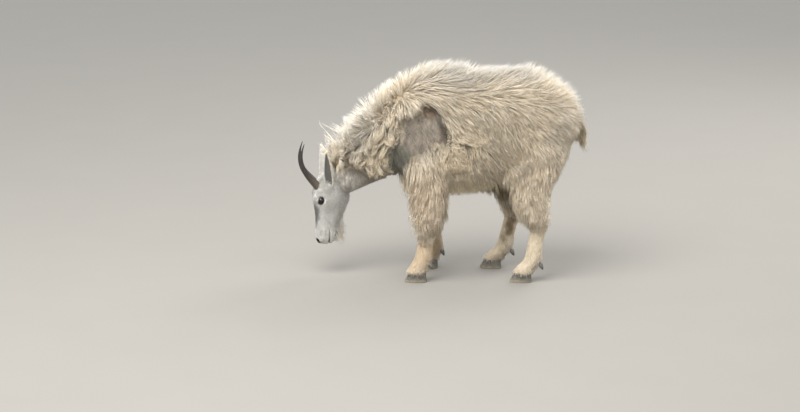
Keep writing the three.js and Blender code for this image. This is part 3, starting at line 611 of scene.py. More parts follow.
# The hair of each part of the body: its lie, and what it says for the fields.
def trunk_hair(places, outs, worn, shed):
    up, x, z = outs[:, 2], places[:, 0], places[:, 2]
    top, under, rump = ease(0.3, 0.85, up), ease(0.3, 0.9, -up), ease(440, 590, x)
    fleece = ease(210, 90, x) * ease(450, 560, z) * ease(800, 690, z)
    lie = mix(np.array([0.62, 0, -0.78]), outs * 0.9 + np.array([0.8, 0, 0]), top[:, None])
    lie = mix(lie, np.array([0.3, 0, -1.0]), np.maximum(under, rump * ease(0.8, 0.3, up))[:, None])
    crest = mix(COAT["side"], COAT["ridge"], ease(0.15, 0.96, up))
    belly = under * ease(-160, 0, x) * (1 - ease(400, 520, x))
    depth = mix(crest, COAT["belly"], belly) * mix(1, 0.6, ease(500, 600, x))
    depth = depth * mix(0.8, 1, ease(-260, -180, x))
    # Painted shade: a dark band just inside the bare patch's upper edge, under the overhanging wool, kept in
    # the dark field.
    rim = ease(-2, 5, shed) * ease(30, 8, shed) * ease(-110, -40, x) * ease(640, 690, z)
    tuft = np.exp(-((x - FLANK_TUFT_X) / 46) ** 4 - (places[:, 1] / 92) ** 4) * under
    length = mix(mix(mix(depth * 1.35 + 34, depth * 1.15 + 6, top), 84, belly), 195, tuft)
    hang = np.clip(under + 0.4 * rump + 0.85 * ease(0.35, 0.98, up), 0, 1)
    return lie, {
        "depth": mix(depth, SHORT_HAIR, worn), "length": mix(length, 13, worn), "hang": hang,
        "width": mix(1.75, 0.8, worn), "curl": mix(1.8, 8, fleece), "matted": mix(0.42, 0.88, fleece),
        "density": mix(37, 60, worn), "bare": worn, "dark": 0.62 * rim,
    }


def neck_hair(outs, t, angle, worn):
    crest, low = ease(0.72, 0.96, np.sin(angle)), ease(-0.2, -0.8, np.sin(angle))
    bare = np.maximum(worn * ease(0.75, 0.4, np.sin(angle)), low * ease(0.4, 0.55, t))
    tall = mix(COAT["mane"] * 0.42, mix(COAT["hump"], COAT["mane"], ease(0.05, 0.5, t)), crest)
    tall = tall * mix(1, 0.85, ease(0.85, 1, t) * crest)
    lean = np.radians(stations_at(NECK, t)[4])
    stand = points(0.4 * (1 - t) - np.sin(lean) - 0.3 * ease(0.5, 0.85, t), outs[:, 1], np.cos(lean) + 0.1)
    return mix(np.array([0.12, 0, -1.0]), stand, crest[:, None]), {
        "depth": mix(tall, SHORT_HAIR, bare), "length": mix(tall * mix(1.5, 0.86, crest), 15, bare),
        "hang": mix(0.45, 1, crest), "width": mix(1.9, 0.8, bare), "curl": mix(9, 3, crest),
        "matted": mix(0.94, 0.5, crest), "density": mix(40 + 30 * ease(0.5, 0.8, t), 60, bare), "bare": bare,
    }


def upper_leg_hair(name, t, angle, worn):
    deep, slim, front = (COAT["thigh"], 0.2, 0) if name.startswith("hind") else (COAT["forearm"], 0.45, 26)
    depth = deep * mix(1, slim, ease(0.45, 1, t))
    depth = depth + front * ease(0.0, 0.9, -np.sin(angle)) * ease(0.8, 0.5, t)
    return np.array([0.04, 0, -1.0]), {
        "depth": mix(depth, SHORT_HAIR, worn), "length": mix(depth * 1.3 + 36, 14, worn), "hang": 0.7,
        "width": mix(1.7, 0.8, worn), "curl": 1.8, "matted": 0.45, "density": 32, "bare": worn,
    }


def lower_leg_hair(z, angle):
    fringe, feather = ease(70, 44, z), ease(0.1, 0.8, np.sin(angle)) * ease(150, 115, z) * ease(50, 66, z)
    return np.array([0.08, 0, -1.0]), {
        "depth": 4, "length": 10.5 + 12 * fringe + 16 * feather, "hang": 0.2 + 0.6 * feather, "width": 0.95,
        "density": 74,
    }


def head_hair(places, t):
    along, height, aside = head_frame(places)
    wide, face, jaw = np.abs(aside), ease(60, 170, along), stations_at(HEAD, t)[2]
    beard = ease(176, 208, along) * ease(300, 284, along) * ease(20, 4, height - jaw) * ease(28, 14, wide)
    cheek = ease(34, 4, height - jaw) * ease(40, 90, along) * ease(250, 215, along)
    length = mix(13, 7.5, face) + 16 * ease(70, 10, along) + 15 * cheek - 3 * ease(262, 290, along)
    lie = mix(head_heading(0.5, -1.0), head_heading(1.0, -0.22), face[:, None])
    lie = mix(lie, head_heading(1.0, -0.7), np.maximum(beard, cheek)[:, None])
    lids = (wide > 25) * ease(1.85, 1.35, eye_opening(along, height)[0])
    da, dh, ds = along - NOSTRIL[0], height - NOSTRIL[1], wide - NOSTRIL[2]
    slit = np.sqrt((da / 13) ** 2 + (dh / 12) ** 2 + (ds / 9) ** 2)
    lips = np.exp(-((height - mouth_line(along)) / 4) ** 2) * mix(0.35, 1, ease(282, 300, along))
    lips = lips * ease(MOUTH_CORNER - 2, MOUTH_CORNER + 8, along)
    dark = np.clip(lids + ease(1.45, 1.0, slit) + lips, 0, 1)
    return lie, {
        "depth": mix(3, 24, beard), "length": mix(length, 70, beard), "hang": np.maximum(beard, 0.7 * cheek),
        "width": mix(0.85, 1.35, beard), "curl": 3 * beard, "matted": 0.5 * beard,
        "density": mix(120, 70, beard) * (1 - ease(0.25, 0.6, dark)), "dark": dark,
    }


def ear_hair(side, t, angle):
    inner = ease(0.0, 0.35, np.sin(angle)) * ease(0.93, 0.72, np.abs(np.cos(angle)))
    return head_heading(-1, 0.1, 0.2 * side), {
        "depth": 2, "length": mix(13, 6, inner), "hang": 0.3, "width": 0.9, "density": mix(110, 30, inner),
        "cup": inner * ease(1.0, 0.9, t) * ease(0.0, 0.1, t),
    }


def hair_fields(places, outs):
    """Depth, length, lie and look of the hair at each point of the hide, its body part, and their names."""
    names, part, t, angle = nearest_parts(places)
    shed = inside(BARE_SHOULDER, places)
    worn = np.maximum(ease(-5, 9, shed), ease(-5, 9, inside(BARE_THROAT, places)))
    growth = {
        "trunk": trunk_hair(places, outs, worn, shed), "neck": neck_hair(outs, t, angle, worn),
        "head": head_hair(places, t), "tail": TAIL_HAIR,
        "ear_left": ear_hair(-1, t, angle), "ear_right": ear_hair(1, t, angle),
    }
    for name in LEGS:
        growth["upper_" + name] = upper_leg_hair(name, t, angle, worn)
        growth["lower_" + name] = lower_leg_hair(places[:, 2], angle)
    values = np.zeros((len(places), len(FIELDS)))
    for number, name in enumerate(names):
        here = part == number
        lie, says = growth[name]
        flow = zip("xyz", unit(np.broadcast_to(lie, places.shape)).T)
        for field, value in (*says.items(), *flow):
            values[here, FIELDS.index(field)] = np.broadcast_to(value, len(places))[here]
    return values, part, names


def smoothed(mesh, values, rounds):
    """Values on a mesh's points, each moved towards its neighbours' mean."""
    a, b = read(mesh.edges, "vertices", 2, int).T
    count = len(mesh.vertices)
    links = np.maximum(np.bincount(a, minlength=count) + np.bincount(b, minlength=count), 1)
    for _ in range(rounds):
        for column in range(values.shape[1]):
            own = values[:, column]
            total = np.bincount(a, own[b], count) + np.bincount(b, own[a], count)
            values[:, column] = 0.5 * own + 0.5 * total / links
    return values


def sample_roots(mesh, places, values, rng, counts):
    """Hair roots drawn over the hide by its area and density: the corners of the face each stands on,
    the share of each corner, and the place in the map."""
    mesh.calc_loop_triangles()
    corners = read(mesh.loop_triangles, "vertices", 3, int)
    loops = read(mesh.loop_triangles, "loops", 3, int)
    flat = read(mesh.uv_layers["OFBake"].data, "uv", 2)
    total = len(corners)
    a, b, c = (places[corners[:, k]] for k in range(3))
    area = np.linalg.norm(np.cross(b - a, c - a), axis=1) / 2
    density = values[corners, FIELDS.index("density")].mean(1) * 1e-3
    wanted = area * density * counts
    number = np.floor(wanted + rng.random(total)).astype(int)
    face = np.repeat(np.arange(total), number)
    u, v = rng.random(len(face)), rng.random(len(face))
    turned = u + v > 1
    u, v = np.where(turned, 1 - u, u), np.where(turned, 1 - v, v)
    share = np.stack([1 - u - v, u, v], 1)[:, :, None]
    return corners[face], share, (flat[loops[face]] * share).sum(1)


def walk_hairs(ground, hair, rng, steps):
    """Paths of long hairs: each lies over the hide at its coat's depth, falls where nothing holds it,
    and ends where it would hang over bare skin."""
    tree, corner, bare = ground
    roots, outs, hang, matted = hair["root"], hair["out"], hair["hang"], hair["matted"][:, None]
    count = len(roots)
    droop = mix(0.2, 1.0, hang) * ease(0.9, 0.5, outs[:, 2])
    jitter = rng.normal(0, 1, (count, 3)) * (0.12 + 0.34 * ease(0.55, 0.9, matted))
    swirl = np.stack([np.sin(roots @ wave + phase) for wave, phase in WAVES], 1)
    flow = unit(hair["flow"] + jitter + swirl * (0.14 + 0.22 * matted))
    depth = hair["depth"] * rng.uniform(0.66, 1.04, count)
    length = hair["length"] * rng.uniform(0.72, 1.12, count)
    paths = np.empty((count, steps + 1, 3))
    paths[:, 0] = roots - outs * 2
    here, outward = roots.copy(), outs.copy()
    reach = np.ones(count)
    for k in range(1, steps + 1):
        s = k / steps
        heading = unit(flow + DOWN * (0.55 * s * droop)[:, None])
        lifted = (heading * outward).sum(1, keepdims=True) * (1 - hang)[:, None]
        ahead = here + unit(heading - outward * lifted) * (length / steps)[:, None]
        found = [tree.find_nearest(place)[:3] for place in ahead]
        base = np.array([f[0] for f in found])
        normal = np.array([f[1] for f in found])
        over = bare[corner[[f[2] for f in found]]]
        reach = np.where((over > 0.5) & (reach > s), s - 0.6 / steps, reach)
        height = ((ahead - base) * normal).sum(1)
        low = depth * s**0.75 * mix(1, 0.82, hang)
        kept = np.clip(height, low, low * 1.25 + 3 + 500 * ease(0.4, 0.8, hang))
        here = np.where((np.abs(kept - height) < 1e-6)[:, None], ahead, base + normal * kept[:, None])
        outward = normal
        paths[:, k] = here
    place = np.linspace(0, steps, steps + 1)[None] * reach[:, None]
    low = np.minimum(place.astype(int), steps - 1)
    own = np.arange(count)[:, None]
    return mix(paths[own, low], paths[own, low + 1], (place - low)[..., None])


def gather(paths, roots, matted, rng):
    """Draws neighbouring hairs together towards their tips, so that they part into locks."""
    leaders = np.flatnonzero(rng.random(len(roots)) < mix(0.13, 0.045, ease(0.5, 0.9, matted)))
    lead = leaders[nearest(roots[leaders], roots)]
    s = np.linspace(0, 1, paths.shape[1])[None, :, None]
    pull = (matted * rng.uniform(0.8, 1.1, len(roots)))[:, None, None] * s**0.8
    return paths + (paths[lead] - paths) * np.clip(pull, 0, 0.92), lead


def add_curl(paths, curl, rng, steps):
    """Winds each path about its own line."""
    count, knots = paths.shape[:2]
    s = np.linspace(0, 1, knots)[None, :]
    heading = unit(paths[:, -1] - paths[:, 0])
    across = unit(np.cross(heading, rng.normal(size=(count, 3))))
    other = np.cross(heading, across)
    turn = rng.uniform(0, 2 * np.pi, (count, 1)) + s * rng.uniform(1.1, 1.7, (count, 1)) * steps
    size = curl[:, None] * s**0.8
    for direction, swing in ((across, np.cos(turn)), (other, np.sin(turn))):
        paths = paths + direction[:, None] * (swing * size)[..., None]
    return paths


def lay_long(ground, hair, rng, steps):
    """Paths of wool or fleece, drawn into locks and wound, a shade for each, and whether it crosses
    an ear or a horn."""
    count, roots, curl = len(hair["root"]), hair["root"], hair["curl"]
    paths = walk_hairs(ground, hair, rng, steps)
    paths, lead = gather(add_curl(paths, curl, rng, steps), roots, hair["matted"], rng)
    paths = add_curl(paths, 0.6 + 0.12 * curl, rng, steps)
    paths[..., 2] = np.minimum(paths[..., 2], TALLEST + 26 * np.tanh((paths[..., 2] - TALLEST) / 26))
    shade = rng.normal(size=count)[lead] * 0.75 + rng.normal(size=count) * 0.55
    along, height, aside = head_frame(paths)
    crossing = (along > -140) & (along < 55) & (height > -18) & ((np.abs(aside) > 34) | (height > 48))
    return paths, shade, crossing.any(1)


def lay_short(hair, rng):
    """Paths of short hair, each a low bow over the skin along its lie, and a shade for each."""
    outs, flow, count = hair["out"], hair["flow"], len(hair["out"])
    tangent = unit(flow - outs * (flow * outs).sum(1, keepdims=True))
    tangent = unit(tangent + rng.normal(0, 0.14, (count, 3)))
    lift = rng.uniform(0.08, 0.24, count) + 0.25 * hair["hang"]
    length = hair["length"] * rng.uniform(0.7, 1.15, count)
    reach, rise = np.array([0, 0.5, 1.0])[None, :, None], np.array([-0.1, 0.62, 1.0])[None, :, None]
    paths = hair["root"][:, None] + tangent[:, None] * reach * length[:, None, None]
    return paths + outs[:, None] * rise * (length * lift)[:, None, None], rng.normal(size=count) * 0.8


def tuft_faces(rings):
    """Corners of the faces of one tuft: three sides from ring to ring, a point, and a closed root."""
    faces = []
    for k in range(rings - 1):
        for side in range(3):
            a, b = k * 3 + side, k * 3 + (side + 1) % 3
            faces += [(a, b + 3, b), (a, a + 3, b + 3)]
    tip = rings * 3
    last = tip - 3
    faces += [(last, tip, last + 1), (last + 1, tip, last + 2), (last + 2, tip, last), (0, 1, 2)]
    return np.array(faces)


def tuft_mesh(name, hair):
    """Closed flat tufts as one mesh: each is three-sided, broad across the lie, and ends in a point."""
    paths = hair["path"]
    count, rings = len(paths), paths.shape[1] - 1
    heading = unit(np.gradient(paths, axis=1))
    across = unit(np.cross(heading, hair["out"][:, None]))
    out = np.cross(across, heading)
    s = np.arange(rings) / rings
    taper = mix(0.62, 1, ease(0, 0.3, s)) * (1 - 0.9 * np.clip((s - 0.3) / 0.7, 0, 1) ** 1.4)
    half = (hair["width"][:, None] * taper)[..., None]
    ring, across, out = paths[:, :rings], across[:, :rings] * half, out[:, :rings] * half * 0.5
    corners = np.stack([ring + across, ring + out, ring - across], 2).reshape(count, rings * 3, 3)
    verts = np.concatenate([corners, paths[:, -1:]], 1)
    per = rings * 3 + 1
    index = (tuft_faces(rings)[None] + np.arange(count)[:, None, None] * per).reshape(-1)
    mesh = bpy.data.meshes.new(name)
    mesh.vertices.add(count * per)
    mesh.vertices.foreach_set("co", to_frame(verts.reshape(-1, 3)).astype(np.float32).ravel())
    mesh.loops.add(len(index))
    mesh.loops.foreach_set("vertex_index", index.astype(np.int32))
    mesh.polygons.add(len(index) // 3)
    mesh.polygons.foreach_set("loop_start", np.arange(0, len(index), 3, dtype=np.int32))
    mesh.update(calc_edges=True)
    across_share = np.append(np.tile([0.5, 0.0, -0.5], rings), 0.0)
    along_share = np.append(np.repeat(s, 3), 1.0)
    patch = np.stack([across_share, along_share - 0.5], 1) * PATCH
    spread = np.clip(hair["map"][:, None] + patch[None], 0.0005, 0.9995).reshape(-1, 2)
    mesh.uv_layers.new(name="OFBake").data.foreach_set("uv", spread[index].astype(np.float32).ravel())
    store(mesh, "root", np.repeat(to_frame(hair["root"]), per, 0))
    for fact in ("shade", *SHARP):
        store(mesh, fact, np.repeat(hair[fact], per))
    store(mesh, "along", np.tile(along_share, count))
    mesh.shade_smooth()
    return link(name, mesh)


class Wire:
    """A socket of a material's nodes, on which plain arithmetic adds Math nodes."""

    def __init__(self, finish, socket):
        self.finish = finish
        self.socket = socket

    def _math(self, operation, first, second):
        return self.finish.add("ShaderNodeMath", {"operation": operation}, {0: first, 1: second})

    def __add__(self, other):
        return self._math("ADD", self, other)

    def __radd__(self, other):
        return self._math("ADD", other, self)

    def __sub__(self, other):
        return self._math("SUBTRACT", self, other)

    def __rsub__(self, other):
        return self._math("SUBTRACT", other, self)

    def __mul__(self, other):
        return self._math("MULTIPLY", self, other)

    def __rmul__(self, other):
        return self._math("MULTIPLY", other, self)

    def __truediv__(self, other):
        return self._math("DIVIDE", self, other)

    def __rtruediv__(self, other):
        return self._math("DIVIDE", other, self)

    def __pow__(self, other):
        return self._math("POWER", self, other)


class Finish:
    """A material whose nodes are all added by one method."""

    def __init__(self, name):
        self.material = bpy.data.materials.new(name)
        self.material.use_nodes = True
        self.tree = self.material.node_tree
        self.tree.nodes.clear()

    def add(self, kind, settings=None, inputs=None, output=0):
        node = self.tree.nodes.new(kind)
        for name, value in (settings or {}).items():
            setattr(node, name, value)
        for key, value in (inputs or {}).items():
            if isinstance(value, Wire):
                self.tree.links.new(value.socket, node.inputs[key])
            else:
                node.inputs[key].default_value = value
        return Wire(self, node.outputs[output]) if node.outputs else None

    def place(self):
        return self.add("ShaderNodeTexCoord", output="Object")

    def fact(self, name, output="Fac"):
        settings = {"attribute_type": "GEOMETRY", "attribute_name": name}
        return self.add("ShaderNodeAttribute", settings, output=output)

    def vector(self, operation, first, second=(0.0, 0.0, 0.0), output=0):
        return self.add("ShaderNodeVectorMath", {"operation": operation}, {0: first, 1: second}, output)

    def axis(self, place, number):
        return self.add("ShaderNodeSeparateXYZ", None, {0: place}, number)

    def scaled(self, colour, amount):
        return self.add("ShaderNodeVectorMath", {"operation": "SCALE"}, {0: colour, "Scale": amount})

    def mixed(self, share, first, second):
        return self.add("ShaderNodeMix", {"data_type": "RGBA"}, {0: share, 6: first, 7: second}, 2)

    def noise(self, place, scale, detail=3.0, roughness=0.55, output=0):
        sizes = {"Vector": place, "Scale": scale, "Detail": detail, "Roughness": roughness}
        return self.add("ShaderNodeTexNoise", None, sizes, output)

    def grain(self, place, stretch, scale, detail, roughness=0.6):
        """Noise drawn out along one axis."""
        return self.noise(self.vector("MULTIPLY", place, stretch), scale, detail, roughness)

    def bump(self, height, strength, distance):
        sizes = {"Strength": strength, "Distance": distance, "Height": height}
        return self.add("ShaderNodeBump", None, sizes)

    def eased(self, value, low, high, first=0.0, last=1.0):
        ends = {"Value": value, "From Min": low, "From Max": high, "To Min": first, "To Max": last}
        return self.add("ShaderNodeMapRange", {"interpolation_type": "SMOOTHSTEP"}, ends)

    def surface(self, inputs):
        shader = self.add("ShaderNodeBsdfPrincipled", None, inputs)
        self.add("ShaderNodeOutputMaterial", None, {"Surface": shader})
        return self.material


def mark_over(finish, place, colour, marks):
    """A colour with soft ovals of other colours laid over it."""
    for middle, size, shade, strength, low, high in marks:
        off = finish.vector("DIVIDE", finish.vector("SUBTRACT", place, middle), size)
        reach = finish.vector("LENGTH", off, output="Value")
        colour = finish.mixed(finish.eased(reach, low, high, strength, 0.0), colour, linear(shade))
    return colour


def marked(finish, place):
    """The coat's colours by the place where the hair grows, alike on the hide and on its tufts, with painted
    shade and painted light among the marks.
    """
    blur = finish.vector("SUBTRACT", finish.noise(place, 11.0, 4.0, 0.6, 1), (0.5, 0.5, 0.5))
    blur = finish.scaled(blur, 0.09)
    moved = finish.vector("ADD", finish.vector("ABSOLUTE", place), blur)
    signed = finish.vector("ADD", place, blur)
    sides, front, height = finish.axis(moved, 1), finish.axis(signed, 0), finish.axis(signed, 2)
    folded = finish.add("ShaderNodeCombineXYZ", None, {0: front, 1: sides, 2: height})
    scale = (1 / MM, 1 / MM, 1 / MM)
    body = finish.vector("SUBTRACT", finish.vector("MULTIPLY", folded, scale), (SHIFT[0], 0.0, SHIFT[2]))
    colour = mark_over(finish, body, linear(WOOL), MARKS)
    turned = HEAD_PLACE.to_3x3().to_euler()
    own = finish.add("ShaderNodeVectorRotate", {"rotation_type": "EULER_XYZ", "invert": True},
                     {"Vector": finish.vector("SUBTRACT", signed, tuple(to_frame(POLL))), "Rotation": turned})
    own = finish.vector("MULTIPLY", own, (-1 / MM, 1 / MM, -1 / MM))
    head_marks = [((m[1], m[2], m[0]), (n[1], n[2], n[0]), *rest) for m, n, *rest in HEAD_MARKS]
    colour = mark_over(finish, own, colour, head_marks)
    worn = finish.grain(place, (1.0, 1.0, 0.45), 46.0, 4.0, 0.65)
    shed = mark_over(finish, body, linear(SHED), SHED_MARKS)
    shed = finish.scaled(shed, finish.eased(worn, 0.36, 0.66, 0.72, 1.14))
    colour = finish.mixed(finish.fact("bare"), colour, shed)
    colour = finish.mixed(finish.fact("cup"), colour, linear((92, 90, 86)))
    # The dark field holds the dark skin of the lids, nostrils and lips, and the painted shade under the
    # wool's edge by the bare patch.
    return finish.mixed(finish.fact("dark"), colour, linear((44, 40, 37)))


def hide_finish():
    """Skin with short hair: the coat's marks, darker under the wool as painted shade in the gaps between the
    locks, and a fine grain along the lie.
    """
    finish = Finish("hide")
    place = finish.place()
    fine = finish.noise(place, 420.0, 2.0, 0.6)
    blotch = finish.noise(place, 34.0, 4.0, 0.6)
    # Painted shade: the skin darker where the wool is deep, for the shade in the gaps between the locks.
    under = finish.eased(finish.fact("wool_depth"), 8.0, 30.0, 0.94, 0.76)
    colour = finish.scaled(marked(finish, place), under * (0.8 + blotch * 0.3) * (0.86 + fine * 0.28))
    bump = finish.bump(finish.grain(place, (1.0, 1.0, 0.22), 520.0, 2.0, 0.5), 0.6, 0.0016)
    rough = finish.eased(finish.fact("dark"), 0.2, 0.9, 0.85, 0.45)
    return finish.surface({"Base Color": colour, "Roughness": rough, "Normal": bump})


def tuft_finish(name, root_shade, tip_shade):
    """Hair: the marks where it grows, each tuft a little its own shade, darker at the root as painted shade
    deep in the coat, and paler to the tip.
    """
    finish = Finish(name)
    place, along, shade = finish.fact("root", "Vector"), finish.fact("along"), finish.fact("shade")
    colour = marked(finish, place)
    stained = finish.mixed(finish.eased(shade, 0.3, 1.6, 0.0, 0.4), colour, linear((212, 184, 140)))
    # Darker toward the root: painted shade deep in the coat; paler to the tip.
    light = finish.eased(along, 0.0, 0.8, root_shade, tip_shade)
    colour = finish.scaled(stained, light * (1.0 + shade * -0.09))
    rough = 0.72 + along * 0.12
    return finish.surface({"Base Color": colour, "Roughness": rough, "Specular IOR Level": 0.2,
                           "Subsurface Weight": 0.5, "Subsurface Radius": (0.012, 0.01, 0.008),
                           "Subsurface Scale": 1.0})


def horn_finish():
    finish = Finish("horn")
    place = finish.place()
    streak = finish.grain(place, (1.0, 1.0, 0.16), 260.0, 4.0)
    worn = finish.noise(place, 46.0, 4.0, 0.6)
    ring = finish.fact("ring")
    colour = finish.mixed(finish.eased(streak, 0.35, 0.7), linear((30, 27, 25)), linear((58, 51, 45)))
    colour = finish.mixed(finish.eased(ring, 0.0, 0.34, 0.6, 0.0), colour, linear((96, 84, 70)))
    colour = finish.scaled(colour, 0.7 + worn * 0.6)
    rough = 0.34 + worn * 0.26
    bump = finish.bump(streak, 0.35, 0.0006)
    return finish.surface({"Base Color": colour, "Roughness": rough, "Normal": bump})


def hoof_finish():
    finish = Finish("hoof")
    place = finish.place()
    growth = finish.grain(place, (0.3, 0.3, 1.0), 230.0, 3.0)
    dust = finish.noise(place, 60.0, 5.0, 0.65)
    height = finish.axis(place, 2)
    colour = finish.mixed(finish.eased(growth, 0.35, 0.65), linear((52, 52, 50)), linear((98, 98, 92)))
    dusty = finish.eased(height + dust * 0.02, 0.006, 0.034, 0.75, 0.1)
    colour = finish.mixed(dusty, colour, linear((150, 136, 114)))
    bump = finish.bump(growth, 0.5, 0.0009)
    return finish.surface({"Base Color": colour, "Roughness": 0.5 + dust * 0.3, "Normal": bump})


def eye_finish(name, middle, gaze):
    """A dark amber eye with a slot for a pupil, level with the ground."""
    finish = Finish(name)
    off = finish.vector("SUBTRACT", finish.place(), tuple(middle))
    level = Vector((gaze.y, -gaze.x, 0)).normalized()
    side = finish.vector("DOT_PRODUCT", off, tuple(level), "Value")
    rise = finish.axis(off, 2)
    radius = EYE["radius"] * MM
    slot, iris = (((side / (radius * wide)) ** 2.0 + (rise / (radius * tall)) ** 2.0) ** 0.5
                  for wide, tall in ((0.5, 0.2), (0.8, 0.8)))
    fibres = finish.noise(off, 900.0, 3.0, 0.6)
    amber = finish.mixed(fibres, linear((15, 10, 7)), linear((30, 20, 12)))
    colour = finish.mixed(finish.eased(iris, 0.82, 1.0), amber, linear((16, 12, 10)))
    colour = finish.mixed(finish.eased(slot, 0.85, 1.05, 1.0, 0.0), colour, linear((6, 5, 5)))
    return finish.surface({"Base Color": colour, "Roughness": 0.08 + fibres * 0.04, "Specular IOR Level": 0.4,
                           "Coat Weight": 0.25, "Coat Roughness": 0.03})


def horn_tilt(t):
    return np.radians(mix(*HORN["tilt"], ease(0.2, 1, t)))


def horn_middle(t):
    """Along and height of a horn's middle line at shares of its length."""
    steps = 96
    tilt = horn_tilt((np.arange(steps) + 0.5) / steps)
    along, height = (np.concatenate([[0], np.cumsum(part)]) * HORN["length"] / steps
                     for part in (np.cos(tilt), np.sin(tilt)))
    marks = np.linspace(0, 1, steps + 1)
    return np.interp(t, marks, HORN["along"] - along), np.interp(t, marks, HORN["height"] + height)


def horn_surface(side):
    def skin(t, angle):
        along, height = horn_middle(t)
        tilt = horn_tilt(t)
        aside = side * (HORN["aside"] + HORN["spread"] * t)
        rings = 0.05 * np.abs(np.sin(t * 26 * np.pi)) ** 0.6 * (1 - ease(0.3, 0.62, t))
        radius = HORN["base"] * mix(1, 0.07, np.minimum(t, 1) ** 1.15) * (0.955 + rings)
        radius = radius * np.sqrt(np.clip((1.004 - t) / 0.02, 0, 1))
        across = radius * np.cos(angle)
        return head_point(along + across * np.sin(tilt), height + across * np.cos(tilt),
                          aside + radius * 0.92 * np.sin(angle))

    return skin


def claw_surface(leg, half):
    side, foot = LEGS[leg][0], LEGS[leg][5]
    middle = side * TRACK + half * (HOOF["gap"] + HOOF["wide"]) * 0.5

    def skin(t, angle):
        heel = foot + HOOF["long"] * 0.5 - 4 * t
        toe = foot - HOOF["long"] * 0.5 + HOOF["long"] * 0.3 * t
        share = (np.cos(angle) + 1) / 2
        bulge = np.sin(angle) * (1 - 0.35 * share**3)
        edge = 1 - 0.05 * (1 - ease(0, 0.07, t)) - 0.12 * ease(0.86, 1, t)
        growth = 1 + 0.006 * np.sin(t * 40)
        x = mix(heel, toe, 0.5 + (share - 0.5) * edge * growth)
        toe_in = -half * 5 * share**2
        y = middle + toe_in + bulge * HOOF["wide"] * 0.5 * mix(1, 0.86, t) * edge * growth
        return points(x, y, 0.4 + (HOOF["tall"] + 3) * t)

    return skin


def dewclaw_surface(leg, half):
    side, fetlock = LEGS[leg][0], LEGS[leg][4]
    middle = (fetlock + 36, side * TRACK + half * 17, HOOF["dewclaw_height"])

    def skin(t, angle):
        swell = HOOF["dewclaw"] * 0.5 * np.sin(np.pi * mix(0.1, 0.95, t))
        x = middle[0] + mix(-6, 9, t) + swell * np.sin(angle)
        return points(x, middle[1] + swell * np.cos(angle) * 0.8, middle[2] + mix(15, -17, t))

    return skin


def dress(piece, material, nodes=()):
    """Says what a piece is made of, and which solids it stands for."""
    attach(piece, "root")
    if nodes:
        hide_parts(*nodes)
    piece.data.materials.clear()
    piece.data.materials.append(material)


def aim(holder, place, target):
    holder.location = place
    holder.rotation_euler = (target - Vector(place)).to_track_quat("-Z", "Y").to_euler()


class GoatSettings(bpy.types.PropertyGroup):
    """What a user would change on the goat."""

    coat_density: bpy.props.FloatProperty(
        name="Coat density", description="How many tufts grow, as a share of the full coat",
        default=1.0, min=0.05, max=1.5, subtype="FACTOR")
    coat_length: bpy.props.FloatProperty(
        name="Coat length", description="Length of the long wool, as a share of its own",
        default=1.0, min=0.5, max=1.05, subtype="FACTOR")
    coat_seed: bpy.props.IntProperty(
        name="Coat seed", description="Which draw of the hairs is made",
        default=11, min=1, subtype="UNSIGNED")
    floor_colour: bpy.props.FloatVectorProperty(
        name="Floor colour", description="Colour of the plain floor",
        default=(0.235, 0.222, 0.2), size=3, subtype="COLOR", min=0, max=1)
    key_power: bpy.props.FloatProperty(
        name="Key light", description="Power of the broad light overhead", default=430.0, min=0, unit="POWER")
    sky_light: bpy.props.FloatProperty(
        name="Sky light", description="Strength of the even light from all round",
        default=1.42, min=0, max=5, subtype="FACTOR")
    camera_distance: bpy.props.FloatProperty(
        name="Camera distance", description="How far the camera stands from what it looks at",
        default=12.0, min=4, unit="LENGTH")


class GOAT_OT_hide(bpy.types.Operator):
    """Makes the one closed hide that stands for all of the body's solids"""

    bl_idname = "goat.hide"
    bl_label = "Hide"

    def execute(self, context):
        piece = make_hide()
        unwrap(piece)
        values = hair_fields(*arrays_of(piece.data))[0]
        for fact, field in (*zip(SHARP, SHARP), ("wool_depth", "depth")):
            store(piece.data, fact, values[:, FIELDS.index(field)])
        dress(piece, hide_finish(), FLESH)
        return {"FINISHED"}


